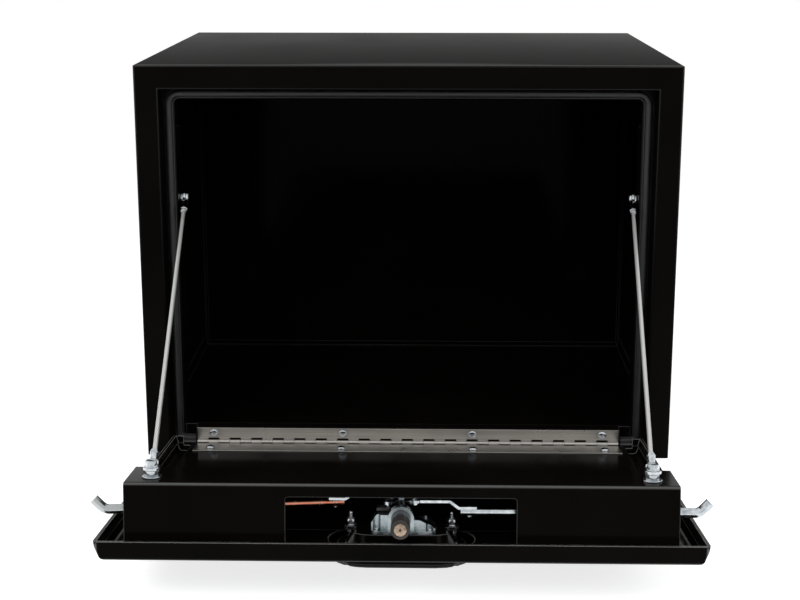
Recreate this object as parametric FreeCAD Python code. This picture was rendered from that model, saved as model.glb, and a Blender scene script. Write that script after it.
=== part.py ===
import FreeCAD, Part
import math
import os
from FreeCAD import Placement, Rotation, Vector

# Under-body truck tool box in folded steel. Its drop-down door is shown open,
# held by two stay cables, with the three-bolt latch open to view in the door.
# Millimetres. +Z is up, the front faces -Y, the origin is the centre of the base.

# Case
case_width = 609.6
case_height = 457.2
case_depth = 457.2
case_sheet = 1.9
bend_inside = 1.0
case_edge_radius = 2.5
face_width = 27.8
seat_depth = 25.0
seat_width = 13.7
return_length = 27.0
inner_flange = 20.0
sill_height = 30.0
sill_return = 14.0
sill_end_gap = 1.3
landing_gap = 0.4
mitre_overrun = 10.0
flange_end_gap = 8.0
rod_notch_gap = 2.5
rod_notch_lead = 1.5
bolt_notch_gap = 2.3
bolt_notch_rise = 4.0

# Door seal
seal_width = 10.6
seal_height = 5.2
seal_shoulder_share = 0.35
seal_gap = 0.3
seal_wall_gap = 1.0
seal_corner_radius = 14.0
seal_curl_radius = 8.0
seal_end_height = 12.0
seal_end_gap = 2.0

# Piano hinge
hinge_axis_depth = 12.0
hinge_axis_height = 12.5
hinge_end_gap = 29.0
knuckle_radius = 2.5
knuckle_pitch = 12.7
knuckle_gap = 0.3
leaf_sheet = 1.2
door_leaf_width = 38.0
leaf_notch = 3.0
pin_clearance = 0.05
hinge_screw_inset = 19.05
hinge_screws_a_side = 2

# Door
open_angle = 7.3
door_side_gap = 1.5
door_top_gap = 1.9
door_sheet = 1.5
door_start = 1.5
flange_flare = 6.0
skin_bend = 6.5
rim_corner = 5.0
hem_height = 8.5
inner_panel_inset = 13.5
inner_panel_end = 6.5

# Raised channel that covers the latch
channel_setback = 15.0
channel_width = 61.0
channel_height = 60.0
channel_end_gap = 13.3
channel_bend = 2.0
window_half = 104.0
window_height = 41.5
window_corner = 3.0

# Latch
latch_setback = 36.0
bolt_travel = 24.0
rod_radius = 4.5
rod_level = 27.8
rod_inner_end = 54.0
rod_reach = 20.7
rod_tip_angle = 45.0
rod_bend_radius = 9.0
rod_tip_length = 14.0
guide_clearance = 0.1
running_gap = 0.3
guide_rise = 7.5
centre_bolt_radius = 8.7
centre_bolt_level = 24.0
centre_bolt_overlap = 27.0
centre_bolt_rear = 6.0
bolt_core_radius = 5.8
core_hole_radius = 1.2
core_hole_depth = 4.0
tab_sheet = 3.0
tab_end_wall = 2.5
tab_side_wall = 2.2
tab_root_share = 0.6
spindle_radius = 4.0
spindle_clearance = 0.05
spindle_seat_step = 1.0
spindle_thread_step = 1.5
spindle_thread_length = 5.0
spindle_nut_height = 4.0
spindle_nut_flats = 9.0
dish_opening_length = 116.0
dish_opening_width = 60.0
dish_rim = 10.0
dish_proud = 8.0
dish_wall = 2.0
dish_top = 10.0
dish_shift = 5.5
dish_ledge = 4.0
bowl_draft = 0.5
dish_tray_straight = 26.0
dish_tray_width = 52.0
dish_tray_low_half = 50.0
dish_tray_top_half = 40.0
tray_draft = 2.0
tray_edge_radius = 3.0
bezel_margin = 7.0
bezel_step = -16.0
crown_inset = 4.0
crown_rise = 1.5
crown_shoulder = 2.0
crown_top_inset = 1.0
gasket_inset = 1.0
skin_opening_gap = 3.25
panel_opening_gap = 6.0
ear_length = 9.0
ear_sheet = 2.8
ear_radius = 6.5
handle_length = 56.0
handle_width = 14.0
handle_end_taper = 2.5
handle_end_edge = 2.0
handle_hub_flank = 6.0
handle_hub_wall = 4.0
lever_level = 33.2
lever_sheet = 2.8
link_sheet = 2.5
lever_pin_radius = 2.2
lever_arm_margin = 2.0
lever_pin_stand = 1.6
clip_sheet = 0.8
clip_width = 1.8
slot_clearance = 0.75
lock_radius = 7.0
plug_radius = 4.8
lock_proud = 0.5
plug_proud = 0.8
lock_floor = 1.5
keyway_half = 0.7
keyway_reach = 3.4
keyway_end = 4.0

# Stay cables
cable_radius = 2.2
ferrule_radius = 3.6
ferrule_length = 20.0
ferrule_start = 9.0
lug_radius = 8.0
lug_sheet = 3.0
cable_bolt_radius = 3.5
anchor_height = 300.0
anchor_depth = 45.0
door_anchor_inset = 22.5
door_anchor_setback = 20.0
door_anchor_rise = 8.5

# Hinge fixings
hinge_rivet_height = 22.5
hinge_rivet_radius = 2.4
rivet_head_radius = 5.0
rivet_head_height = 1.9
door_screw_reach = 27.0
rivet_tail_radius = 3.6
rivet_tail_height = 1.5
hinge_bolt_collar = 1.2
hinge_bolt_dome = 2.9
hinge_bolt_tail = 1.0
hinge_nut_height = 4.0
hinge_nut_flats = 9.0
leaf_margin = 1.0

# Latch details
gasket_sheet = 0.8
stud_x = 46.5
stud_radius = 2.5
stud_top = 23.4
stud_washer_sheet = 1.4
stud_nut_height = 5.2
stud_nut_flats = 10.0
dish_screw_x = 50.0
dish_screw_y = 28.5
dish_screw_radius = 1.6
screw_seat = -15.2
screw_tip_level = 2.7
screw_head_height = 1.8
screw_head_gap = 0.1
screw_point = 1.0
stud_point = 0.8
spring_washer_sheet = 1.3
housing_foot = 3.0
foot_half = 27.0
foot_low = 19.0
foot_high = 30.0
foot_wide_half = 32.0
foot_wide_reach = 12.0
foot_end_half = 30.0
foot_low_edge = 5.0
foot_high_edge = 4.0
foot_screw_x = 22.0
foot_screw_far_x = 26.0
foot_screw_low = 15.0
foot_screw_high = 26.0
foot_screw_head = 2.2
foot_screw_relief = 0.4
cheek_gap = 0.5
shoulder_setback = 3.0
shoulder_length = 18.0
shoulder_flat_half = 22.0
shoulder_drop = 7.0
wing_length = 13.0
wing_half = 31.0
wing_rise = 1.5
wing_shelf = 17.0
wing_drop = 4.5
wing_edge = 5.0
shoulder_top = 26.7
guide_outer = 12.0
guide_wall = 2.0
bush_flange = 1.5
bush_lip = 2.0
bearing_radius = 8.0
guide_setback = 23.0
guide_length = 8.0
handle_low = -19.0
handle_high = -9.5
lock_back = -11.0
rod_pin_angles = [225, 45]
bolt_pin_angle = 135
tab_level = 28.0
joggle_start = 44.0
joggle_end = 52.0
link_end = 70.0
link_rivet_x = 62.0
link_rivet_radius = 2.0
link_rivet_tail = 1.2
link_rivet_flare = 1.2
link_rivet_head = 1.6
link_flat_drop = 2.0
link_flat_overrun = 2.0
link_eye_wall = 2.6
link_eye_end = 1.8
link_eye_corner = 3.0
link_bend = 1.5
link_slot_corner = 1.5
link_waist_half = 5.0
link_foot_half = 4.5
link_margin = 12.0
core_length = 31.0
groove_count = 4
groove_start = 5.0
groove_pitch = 3.6
groove_width = 1.2
groove_depth = 0.5
nose_chamfer = 1.0
core_chamfer = 0.6

# Cable fixings
lug_width = 8.0
lug_bend = 9.5
anchor_spacer = 3.4
anchor_nut = 5.0
anchor_head_radius = 6.3
anchor_washer_radius = 6.5
anchor_collar = 1.0
low_washer_sheet = 1.6
low_washer_margin = 1.0
high_washer_sheet = 1.4
bolt_tail = 1.5
anchor_tail = 1.0
tongue_overlap = 0.5
slope_start = 0.3
slope_overlap = 2.5
upper_tongue_overlap = 3.0

barrel_start = 4.0
collar_start = 11.0
barrel_end_run = 3.0
collar_length = 2.0
collar_step = 0.6
anchor_dome = 3.0
cable_nut_flats = 11.0
cable_head_height = 4.6

# How finely small repeated pieces are drawn
small_sides = 10
tiny_sides = 8
knuckle_sides = 8
bore_sides = 6
seal_crown_faces = 4
dome_shares = (1, 0.75, 0.35)
rod_sides = 16
bolt_sides = 20
bend_steps = 3
oval_steps = 10
edge_steps = 3

# Worked out from the driving sizes
front = -case_depth / 2
opening_half = case_width / 2 - face_width
opening_top = case_height - face_width
seat_edge_half = opening_half - seat_width
seat_edge_top = opening_top - seat_width
sill_face_depth = hinge_axis_depth + knuckle_radius
knuckle_count = 2 * int((opening_half - hinge_end_gap) / knuckle_pitch - 0.5) + 1
hinge_half = knuckle_count * knuckle_pitch / 2
hinge_screw_pitch = 2 * (hinge_half - hinge_screw_inset) / (2 * hinge_screws_a_side - 1)
sill_half = hinge_half + sill_end_gap
pin_radius = knuckle_radius - leaf_sheet - pin_clearance
rim_half = opening_half - door_side_gap
rim_reach = opening_top - door_top_gap - hinge_axis_height
rim_level = seat_depth - seal_height - seal_gap - hinge_axis_depth
skin_level = -hinge_axis_depth
panel_level = -knuckle_radius
panel_half = rim_half - flange_flare - inner_panel_inset
panel_reach = rim_reach - flange_flare - inner_panel_end
channel_front = rim_reach - channel_setback
channel_back = channel_front - channel_width
channel_half = seat_edge_half - channel_end_gap
channel_top = panel_level + channel_height
latch_reach = channel_front - latch_setback
lever_pin_circle = bolt_travel / math.sqrt(2)
rod_offset = lever_pin_circle * (1 + math.cos(math.radians(45))) / 2
rod_line = latch_reach + rod_offset
left_run = channel_half - rod_inner_end
left_slope = math.atan2(2 * rod_offset, left_run)
bolt_tip = channel_front + centre_bolt_overlap
bolt_rear = latch_reach + centre_bolt_rear
spindle_nut_level = lever_level + lever_sheet
link_level = spindle_nut_level + running_gap
link_low_level = rod_level + rod_radius - link_flat_drop
door_anchor_x = channel_half - door_anchor_inset
door_anchor_reach = channel_front - door_anchor_setback
screw_positions = [
    side * (step + 0.5) * hinge_screw_pitch for side in (-1, 1) for step in range(hinge_screws_a_side)
]

X_AXIS = Vector(1, 0, 0)
Y_AXIS = Vector(0, 1, 0)
Z_AXIS = Vector(0, 0, 1)
door_place = Placement(
    Vector(0, front + hinge_axis_depth, hinge_axis_height), Rotation(X_AXIS, -open_angle)
)


def box(x0, x1, y0, y1, z0, z1):
    """A block between two corners."""
    return Part.makeBox(x1 - x0, y1 - y0, z1 - z0, Vector(x0, y0, z0))


def slab(x0, x1, a0, a1, b0, b1):
    """A block in the door: x, reach a from the hinge, level b."""
    return box(x0, x1, -a1, -a0, b0, b1)


def pin(start, direction, radius, length):
    """A round bar from a point along a direction."""
    return Part.makeCylinder(radius, length, start, direction)


def post(x, a, b0, b1, radius):
    """A round bar in the door, square to its panel."""
    return pin(Vector(x, -a, b0), Z_AXIS, radius, b1 - b0)


def hexagon(x, a, b0, b1, across_flats):
    """A hexagonal nut or head in the door, square to its panel."""
    corner = across_flats / math.sqrt(3)
    points = []
    for step in range(7):
        angle = math.radians(60 * step)
        points.append(Vector(x + corner * math.cos(angle), corner * math.sin(angle) - a, b0))
    return Part.Face(Part.makePolygon(points)).extrude(Vector(0, 0, b1 - b0))


def many_sided(start, direction, radius, length, sides=small_sides):
    """A bar of round section drawn with flat sides, its corners on the circle."""
    return turned(start, direction, [(0, radius), (length, radius)], sides)


def turned(start, direction, profile, sides=small_sides):
    """A small turned piece drawn with flat sides: (height, radius) rows along its axis."""
    rings = []
    for height, radius in profile:
        ring = []
        for step in range(sides):
            angle = 2 * math.pi * (step + 0.5) / sides
            ring.append(Vector(radius * math.cos(angle), radius * math.sin(angle), height))
        rings.append(ring)
    piece = faceted_solid(rings)
    piece.Placement = Placement(start, Rotation(Z_AXIS, direction))
    return piece


def faceted_solid(rings):
    """A solid of flat faces through rings of as many corners each."""
    faces = [Part.Face(Part.makePolygon(ring + ring[:1])) for ring in (rings[0], rings[-1])]
    for low, high in zip(rings, rings[1:]):
        for step in range(len(low)):
            after = (step + 1) % len(low)
            corners = [low[step], low[after], high[after], high[step], low[step]]
            faces.append(Part.Face(Part.makePolygon(corners)))
    shell = Part.makeShell(faces)
    shell.sewShape()
    return Part.Solid(shell).removeSplitter()


def stem(x, a, b0, b1, radius):
    """A many-sided bar in the door, square to its panel."""
    return many_sided(Vector(x, -a, b0), Z_AXIS, radius, b1 - b0)


def hole_corner(radius, sides):
    """Radius to the corners of a many-sided hole whose flats lie on a circle."""
    return radius / math.cos(math.pi / sides)


def dome_rows(start, radius, height):
    """Rows of a low domed head that starts at a height along its axis."""
    return [(start + height * (1 - share * share), radius * share) for share in dome_shares]


def fuse(shapes):
    """One solid from several that meet."""
    whole = shapes[0].multiFuse(shapes[1:]) if len(shapes) > 1 else shapes[0]
    return whole.removeSplitter()


def cut(shape, tools):
    """A shape less several others."""
    for tool in tools:
        shape = shape.cut(tool)
    return shape


def rounded_face(corners, place, steps=0):
    """A flat face from (u, v, radius) corners; place turns (u, v) into a point.

    With steps, each rounding is drawn as that many short straight sides.
    """
    count = len(corners)
    starts = []
    ends = []
    arcs = []
    for index, (u, v, radius) in enumerate(corners):
        corner = Vector(u, v, 0)
        before = Vector(*corners[index - 1][:2], 0) - corner
        after = Vector(*corners[(index + 1) % count][:2], 0) - corner
        if radius <= 0:
            starts.append(corner)
            ends.append(corner)
            arcs.append(None)
            continue
        before.normalize()
        after.normalize()
        half = before.getAngle(after) / 2
        back = radius / math.tan(half)
        inward = before + after
        inward.normalize()
        centre = corner + inward * (radius / math.sin(half))
        starts.append(corner + before * back)
        ends.append(corner + after * back)
        arcs.append((centre, centre - inward * radius))
    if steps:
        return stepped_face(starts, ends, arcs, place, steps)
    edges = []
    for index in range(count):
        if arcs[index]:
            points = [starts[index], arcs[index][1], ends[index]]
            edges.append(Part.Arc(*[place(p.x, p.y) for p in points]).toShape())
        following = (index + 1) % count
        if (starts[following] - ends[index]).Length > 1e-6:
            line = [place(p.x, p.y) for p in (ends[index], starts[following])]
            edges.append(Part.LineSegment(*line).toShape())
    return Part.Face(Part.Wire(Part.__sortEdges__(edges)))


def stepped_face(starts, ends, arcs, place, steps):
    """The same face with its roundings as short straight sides."""
    points = []
    for start, end, arc in zip(starts, ends, arcs):
        if not arc:
            points.append(start)
            continue
        centre = arc[0]
        first = math.atan2(start.y - centre.y, start.x - centre.x)
        turn = math.atan2(end.y - centre.y, end.x - centre.x) - first
        turn = (turn + math.pi) % (2 * math.pi) - math.pi
        radius = (start - centre).Length
        for step in range(steps + 1):
            angle = first + turn * step / steps
            points.append(centre + Vector(math.cos(angle), math.sin(angle), 0) * radius)
    outline = [place(point.x, point.y) for point in points]
    return Part.Face(Part.makePolygon(outline + outline[:1]))


def bent_sheet(points, thickness, inside):
    """Corners of a folded sheet's section. The sheet lies left of the line of points."""
    vectors = [Vector(u, v, 0) for u, v in points]
    runs = [(vectors[i + 1] - vectors[i]).normalize() for i in range(len(vectors) - 1)]
    lefts = [Vector(-run.y, run.x, 0) for run in runs]
    near = [(points[0][0], points[0][1], 0)]
    first = vectors[0] + lefts[0] * thickness
    far = [(first.x, first.y, 0)]
    for index in range(1, len(vectors) - 1):
        corner = vectors[index]
        mean = lefts[index - 1] + lefts[index]
        mitre = mean * (thickness / (1 + lefts[index - 1].dot(lefts[index])))
        left_turn = runs[index - 1].cross(runs[index]).z > 0
        near.append((corner.x, corner.y, inside + thickness if left_turn else inside))
        other = corner + mitre
        far.append((other.x, other.y, inside if left_turn else inside + thickness))
    near.append((points[-1][0], points[-1][1], 0))
    last = vectors[-1] + lefts[-1] * thickness
    far.append((last.x, last.y, 0))
    return near + far[::-1]


def oval_wire(straight, radius, reach, level):
    """A flat-sided oval outline in the door at one level, long along x."""
    points = []
    for side in (1, -1):
        for step in range(oval_steps + 1):
            angle = math.pi * (step / oval_steps - 0.5)
            x = side * (straight + radius * math.cos(angle))
            points.append(Vector(x, side * radius * math.sin(angle) - reach, level))
    return Part.makePolygon(points + points[:1])


def oval_block(length, width, reach, level, height):
    """A straight-walled oval block in the door."""
    outline = oval_wire((length - width) / 2, width / 2, reach, level)
    return Part.Face(outline).extrude(Vector(0, 0, height))


def bent_rod(points, radius, bend):
    """A round rod drawn with flat sides, its straight runs joined by a bend in short steps."""
    stations = [(points[0], (points[1] - points[0]).normalize())]
    for index in range(1, len(points) - 1):
        corner = points[index]
        before = (corner - points[index - 1]).normalize()
        after = (points[index + 1] - corner).normalize()
        turn = before.getAngle(after)
        axis = before.cross(after).normalize()
        start = corner - before * (bend * math.tan(turn / 2))
        centre = start + axis.cross(before) * bend
        for step in range(bend_steps + 1):
            swing = Rotation(axis, math.degrees(turn) * step / bend_steps)
            stations.append((centre + swing.multVec(start - centre), swing.multVec(before)))
    stations.append((points[-1], (points[-1] - points[-2]).normalize()))
    rings = []
    for place, direction in stations:
        side = Y_AXIS
        square = direction.cross(side)
        ring = []
        for step in range(rod_sides):
            angle = 2 * math.pi * (step + 0.5) / rod_sides
            ring.append(place + side * (radius * math.cos(angle)) + square * (radius * math.sin(angle)))
        rings.append(ring)
    return faceted_solid(rings)


def upright_slot(start, length, radius):
    """A bar along x with round top and bottom, taller than wide by the guides' rise."""
    outline = []
    for centre, first in ((guide_rise, 0), (0, 180)):
        for step in range(tiny_sides + 1):
            angle = math.radians(first + 180 * step / tiny_sides)
            outline.append(start + Vector(0, radius * math.cos(angle), centre + radius * math.sin(angle)))
    return Part.Face(Part.makePolygon(outline + outline[:1])).extrude(X_AXIS * length)


def guide_slot(x, length, radius):
    """The slot of a rod guide across an end wall of the door's channel."""
    return upright_slot(Vector(x, -rod_line, rod_level), length, radius)


def mirrored(shape):
    """The same shape on the other side of the middle."""
    return shape.mirror(Vector(0, 0, 0), X_AXIS)


def on_door(shape):
    """Move a shape from the door's own axes to the open door."""
    moved = shape.copy()
    moved.Placement = door_place.multiply(moved.Placement)
    return moved


parts = {}


def keep(name, shapes):
    """Store a sub-part made of one or more separate solids."""
    solids = [solid for shape in shapes for solid in shape.Solids]
    parts[name] = solids[0] if len(solids) == 1 else Part.makeCompound(solids)


def keep_on_door(name, shapes):
    """Store a sub-part that is modelled in the door's own axes."""
    keep(name, [on_door(shape) for shape in shapes])


# Case shell: one section runs up the left side, over the top and down the right

def wall_section(place):
    """Section of a case wall: distance in from the outside, depth from the front."""
    line = [
        (0, case_depth),
        (0, 0),
        (face_width, 0),
        (face_width, seat_depth),
        (face_width + seat_width, seat_depth),
        (face_width + seat_width, seat_depth + return_length),
    ]
    return rounded_face(bent_sheet(line, case_sheet, bend_inside), place)


def mitre_block(points):
    """A block through the case's whole depth with corners given as (x, z)."""
    corners = [Vector(x, front - 1, z) for x, z in points]
    return Part.Face(Part.makePolygon(corners + corners[:1])).extrude(Vector(0, case_depth + 2, 0))


def make_body_shell():
    """Sides and top of the case with the face, the recess and the seal seat."""
    half = case_width / 2
    mitre = face_width + seat_width + mitre_overrun
    left_section = wall_section(lambda u, v: Vector(u - half, front + v, 0))
    left_corners = [(-half, 0), (mitre - half, 0), (mitre - half, case_height - mitre), (-half, case_height)]
    left = left_section.extrude(Vector(0, 0, case_height)).common(mitre_block(left_corners))
    top_section = wall_section(lambda u, v: Vector(-half, front + v, case_height - u))
    top = top_section.extrude(Vector(case_width, 0, 0))
    top = top.common(
        mitre_block(
            [
                (-half, case_height),
                (half, case_height),
                (half - mitre, case_height - mitre),
                (mitre - half, case_height - mitre),
            ]
        )
    )
    shell = fuse([left, top, mirrored(left)])
    radius = case_edge_radius
    for side in (-1, 1):
        edge = box(half - radius, half, front, -front, case_height - radius, case_height)
        core = pin(Vector(half - radius, front, case_height - radius), Y_AXIS, radius, case_depth)
        corner = edge.cut(core)
        shell = shell.cut(corner if side > 0 else mirrored(corner))
    rod_height = hinge_axis_height + rod_line
    notch_half = rod_radius + rod_notch_gap
    notch_front = front + hinge_axis_depth + rod_level - rod_radius - rod_notch_lead
    notch_back = front + seat_depth + return_length + 1
    side_notch = box(
        seat_edge_half - 1,
        seat_edge_half + case_sheet + 1,
        notch_front,
        notch_back,
        rod_height - notch_half,
        rod_height + notch_half,
    )
    bolt_half = centre_bolt_radius + bolt_notch_gap
    top_notch = box(
        -bolt_half,
        bolt_half,
        front + seat_depth - 1,
        notch_back,
        seat_edge_top - 1,
        seat_edge_top + bolt_notch_rise,
    )
    hole_start = Vector(seat_edge_half - 1, front + anchor_depth, anchor_height)
    anchor_hole = many_sided(hole_start, X_AXIS, cable_bolt_radius, case_sheet + 2)
    return cut(shell, [side_notch, mirrored(side_notch), top_notch, anchor_hole, mirrored(anchor_hole)])


def make_floor_pan():
    """Base sheet with the sill that carries the hinge, and flanges inside the walls."""
    inside_half = case_width / 2 - case_sheet
    post_depth = seat_depth + return_length
    sill_line = [
        (sill_face_depth + sill_return, sill_height),
        (sill_face_depth, sill_height),
        (sill_face_depth, 0),
        (post_depth + 1, 0),
    ]
    sill_section = rounded_face(
        bent_sheet(sill_line, case_sheet, bend_inside), lambda u, v: Vector(-sill_half, front + u, v)
    )
    sill = sill_section.extrude(Vector(2 * sill_half, 0, 0))
    sheet = box(-inside_half, inside_half, front + post_depth + 0.5, -front - case_sheet, 0, case_sheet)
    pieces = [sill, sheet]
    seat_back = front + seat_depth
    wing_end = seat_edge_half - landing_gap
    wing = box(sill_half - 1, wing_end, seat_back, front + post_depth + 1, 0, case_sheet)
    landing = box(sill_half - 1, wing_end, seat_back, seat_back + case_sheet, 0, sill_height)
    flange = box(
        inside_half - case_sheet,
        inside_half,
        front + post_depth + flange_end_gap,
        -front - inner_flange - flange_end_gap,
        0,
        inner_flange,
    )
    pieces += [wing, landing, flange, mirrored(wing), mirrored(landing), mirrored(flange)]
    pan = fuse(pieces)
    holes = []
    for x in screw_positions:
        start = Vector(x, front + sill_face_depth - 1, hinge_rivet_height)
        holes.append(many_sided(start, Y_AXIS, hinge_rivet_radius, case_sheet + 2))
    return cut(pan, holes)


def make_back_panel():
    """Back sheet with a flange forward on each of its four edges."""
    half = case_width / 2 - case_sheet
    low = case_sheet
    high = case_height - case_sheet
    back = -front
    block = box(-half, half, back - inner_flange, back, low, high)
    radius = case_edge_radius
    for x, z in ((half, high), (-half, high)):
        side = 1 if x > 0 else -1
        inner_x = x - side * radius
        edge = box(min(x, inner_x), max(x, inner_x), back - inner_flange, back, z - radius, z)
        core = pin(Vector(inner_x, back - inner_flange, z - radius), Y_AXIS, radius, inner_flange)
        block = block.cut(edge.cut(core))
    cavity = box(
        case_sheet - half,
        half - case_sheet,
        back - inner_flange - 1,
        back - case_sheet,
        low + case_sheet,
        high - case_sheet,
    )
    return block.cut(cavity)


# Door seal: a D-section bulb with rounded corners and curled ends

def seal_face(place):
    """D-section: flat foot on the seat, round crown towards the door."""
    half = seal_width / 2
    shoulder = seal_height * seal_shoulder_share
    points = [place(-half, 0), place(half, 0)]
    for step in range(seal_crown_faces + 1):
        angle = math.pi * step / seal_crown_faces
        points.append(place(half * math.cos(angle), shoulder + (seal_height - shoulder) * math.sin(angle)))
    return Part.Face(Part.makePolygon(points + points[:1]))


def make_door_seal():
    """Rubber bulb seal round the opening, with rounded corners and curled ends."""
    seat_y = front + seat_depth
    line_half = opening_half - seal_wall_gap - seal_width / 2
    line_top = opening_top - seal_wall_gap - seal_width / 2
    corner_z = line_top - seal_corner_radius
    curl_z = seal_end_height + seal_curl_radius
    end_length = line_half - seal_curl_radius - sill_half - seal_end_gap

    def upright(u, v):
        return Vector(line_half + u, seat_y - v, curl_z)

    def level(u, v):
        return Vector(seal_corner_radius - line_half, seat_y - v, line_top + u)

    def curl_foot(u, v):
        return Vector(line_half - seal_curl_radius, seat_y - v, seal_end_height - u)

    side = seal_face(upright).extrude(Vector(0, 0, corner_z - curl_z))
    corner_face = seal_face(lambda u, v: Vector(line_half + u, seat_y - v, corner_z))
    corner = corner_face.revolve(Vector(line_half - seal_corner_radius, 0, corner_z), Y_AXIS, -90)
    curl = seal_face(upright).revolve(Vector(line_half - seal_curl_radius, 0, curl_z), Y_AXIS, 90)
    end = seal_face(curl_foot).extrude(Vector(-end_length, 0, 0))
    top = seal_face(level).extrude(Vector(2 * (line_half - seal_corner_radius), 0, 0))
    right = [side, corner, curl, end]
    return fuse(right + [top] + [mirrored(piece) for piece in right])


# Piano hinge: both leaves share one knuckle section, tangent to the leaf

def knuckle_face(place):
    """Rolled knuckle with the start of its leaf: n square to the leaf, t along it."""
    rolled = knuckle_radius - leaf_sheet
    first = math.acos(rolled / knuckle_radius)
    points = [place(knuckle_radius, leaf_notch), place(rolled, leaf_notch)]
    for step in range(knuckle_sides + 1):
        angle = first + (2 * math.pi - first) * step / knuckle_sides
        points.append(place(knuckle_radius * math.cos(angle), knuckle_radius * math.sin(angle)))
    return Part.Face(Part.makePolygon(points + points[:1]))


def hinge_leaf(first_knuckle, place, leaf_plate):
    """A leaf with every second knuckle, with a six-sided bore that clears the pin."""
    pieces = [leaf_plate]
    for index in range(first_knuckle, knuckle_count, 2):
        start = index * knuckle_pitch - hinge_half + knuckle_gap / 2
        face = knuckle_face(lambda n, t: Vector(start, 0, 0) + place(n, t))
        pieces.append(face.extrude(Vector(knuckle_pitch - knuckle_gap, 0, 0)))
    leaf = fuse(pieces)
    bore = many_sided(
        place(0, 0) - X_AXIS * (hinge_half + 1),
        X_AXIS,
        hole_corner(knuckle_radius - leaf_sheet, bore_sides),
        2 * hinge_half + 2,
        bore_sides,
    )
    return leaf.cut(bore)


def make_hinge_box_leaf():
    """Leaf riveted upright on the sill."""
    def place(n, t):
        return Vector(0, front + hinge_axis_depth + n, hinge_axis_height + t)

    plate = box(
        -hinge_half,
        hinge_half,
        front + sill_face_depth - leaf_sheet,
        front + sill_face_depth,
        hinge_axis_height + leaf_notch,
        sill_height - leaf_margin,
    )
    leaf = hinge_leaf(0, place, plate)
    holes = []
    for x in screw_positions:
        start = Vector(x, front + sill_face_depth - leaf_sheet - 1, hinge_rivet_height)
        holes.append(many_sided(start, Y_AXIS, hinge_rivet_radius, leaf_sheet + 2))
    return cut(leaf, holes)


def make_hinge_door_leaf():
    """Leaf bolted on the door's inner panel."""
    def place(n, t):
        return Vector(0, -t, -n)

    plate = slab(
        -hinge_half, hinge_half, leaf_notch, door_leaf_width, panel_level, panel_level + leaf_sheet
    )
    leaf = hinge_leaf(1, place, plate)
    holes = [
        stem(x, door_screw_reach, panel_level - 1, panel_level + leaf_sheet + 1, hinge_rivet_radius)
        for x in screw_positions
    ]
    return cut(leaf, holes)


def make_hinge_pin():
    """One pin through every knuckle."""
    start = Vector(-hinge_half, front + hinge_axis_depth, hinge_axis_height)
    return pin(start, X_AXIS, pin_radius, 2 * hinge_half)


def make_box_rivet(x):
    """Dome rivet through the box leaf and the sill."""
    grip = leaf_sheet + case_sheet
    tail_face = Vector(x, front + sill_face_depth + case_sheet + rivet_tail_height, hinge_rivet_height)
    head_start = rivet_tail_height + grip
    rows = [
        (0, rivet_tail_radius),
        (rivet_tail_height, rivet_tail_radius),
        (rivet_tail_height, hinge_rivet_radius),
        (head_start, hinge_rivet_radius),
    ]
    rows += dome_rows(head_start, rivet_head_radius, rivet_head_height)
    return turned(tail_face, Y_AXIS * -1, rows)


def make_door_hinge_bolt(x):
    """Domed bolt through the door leaf and the inner panel."""
    bottom = panel_level - door_sheet - hinge_nut_height - hinge_bolt_tail
    shank = panel_level + leaf_sheet - bottom
    rows = [(0, hinge_rivet_radius), (shank, hinge_rivet_radius), (shank, rivet_head_radius)]
    rows += dome_rows(shank + hinge_bolt_collar, rivet_head_radius, hinge_bolt_dome)
    return turned(Vector(x, -door_screw_reach, bottom), Z_AXIS, rows)


def make_door_hinge_nut(x):
    """Nut under the inner panel."""
    top = panel_level - door_sheet
    nut = hexagon(x, door_screw_reach, top - hinge_nut_height, top, hinge_nut_flats)
    return nut.cut(stem(x, door_screw_reach, top - hinge_nut_height - 1, top + 1, hinge_rivet_radius))


# Door

def door_tray(inset, floor, ceiling, bend):
    """Block with the door's flared sides, its walls drawn in by inset."""
    slope = flange_flare / (rim_level - skin_level)
    shift = inset * math.sqrt(1 + slope * slope)

    def edge_at(edge, level):
        return edge - flange_flare + slope * (level - skin_level) - shift

    start = door_start + inset
    across = rounded_face(
        [
            (-edge_at(rim_half, ceiling), ceiling, 0),
            (-edge_at(rim_half, floor), floor, bend),
            (edge_at(rim_half, floor), floor, bend),
            (edge_at(rim_half, ceiling), ceiling, 0),
        ],
        lambda u, v: Vector(u, -rim_reach - 1, v),
    ).extrude(Vector(0, rim_reach + 2, 0))
    along = rounded_face(
        [
            (start, ceiling, 0),
            (start, floor, 0),
            (edge_at(rim_reach, floor), floor, bend),
            (edge_at(rim_reach, ceiling), ceiling, 0),
        ],
        lambda u, v: Vector(-rim_half - 1, -u, v),
    ).extrude(Vector(2 * rim_half + 2, 0, 0))
    block = across.common(along)
    corner = max(rim_corner - inset, 0.5)
    half = rim_half - shift
    reach = rim_reach - shift
    plan = rounded_face(
        [(-half, -reach, corner), (half, -reach, corner), (half, 0, 0), (-half, 0, 0)],
        lambda u, v: Vector(u, v, skin_level - 1),
    ).extrude(Vector(0, 0, rim_level - skin_level + 3))
    return block.common(plan)


def dish_screw_places():
    """Centres of the four small screws of the dish."""
    return [(side * dish_screw_x, latch_reach + step * dish_screw_y) for side in (-1, 1) for step in (-1, 1)]


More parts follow.
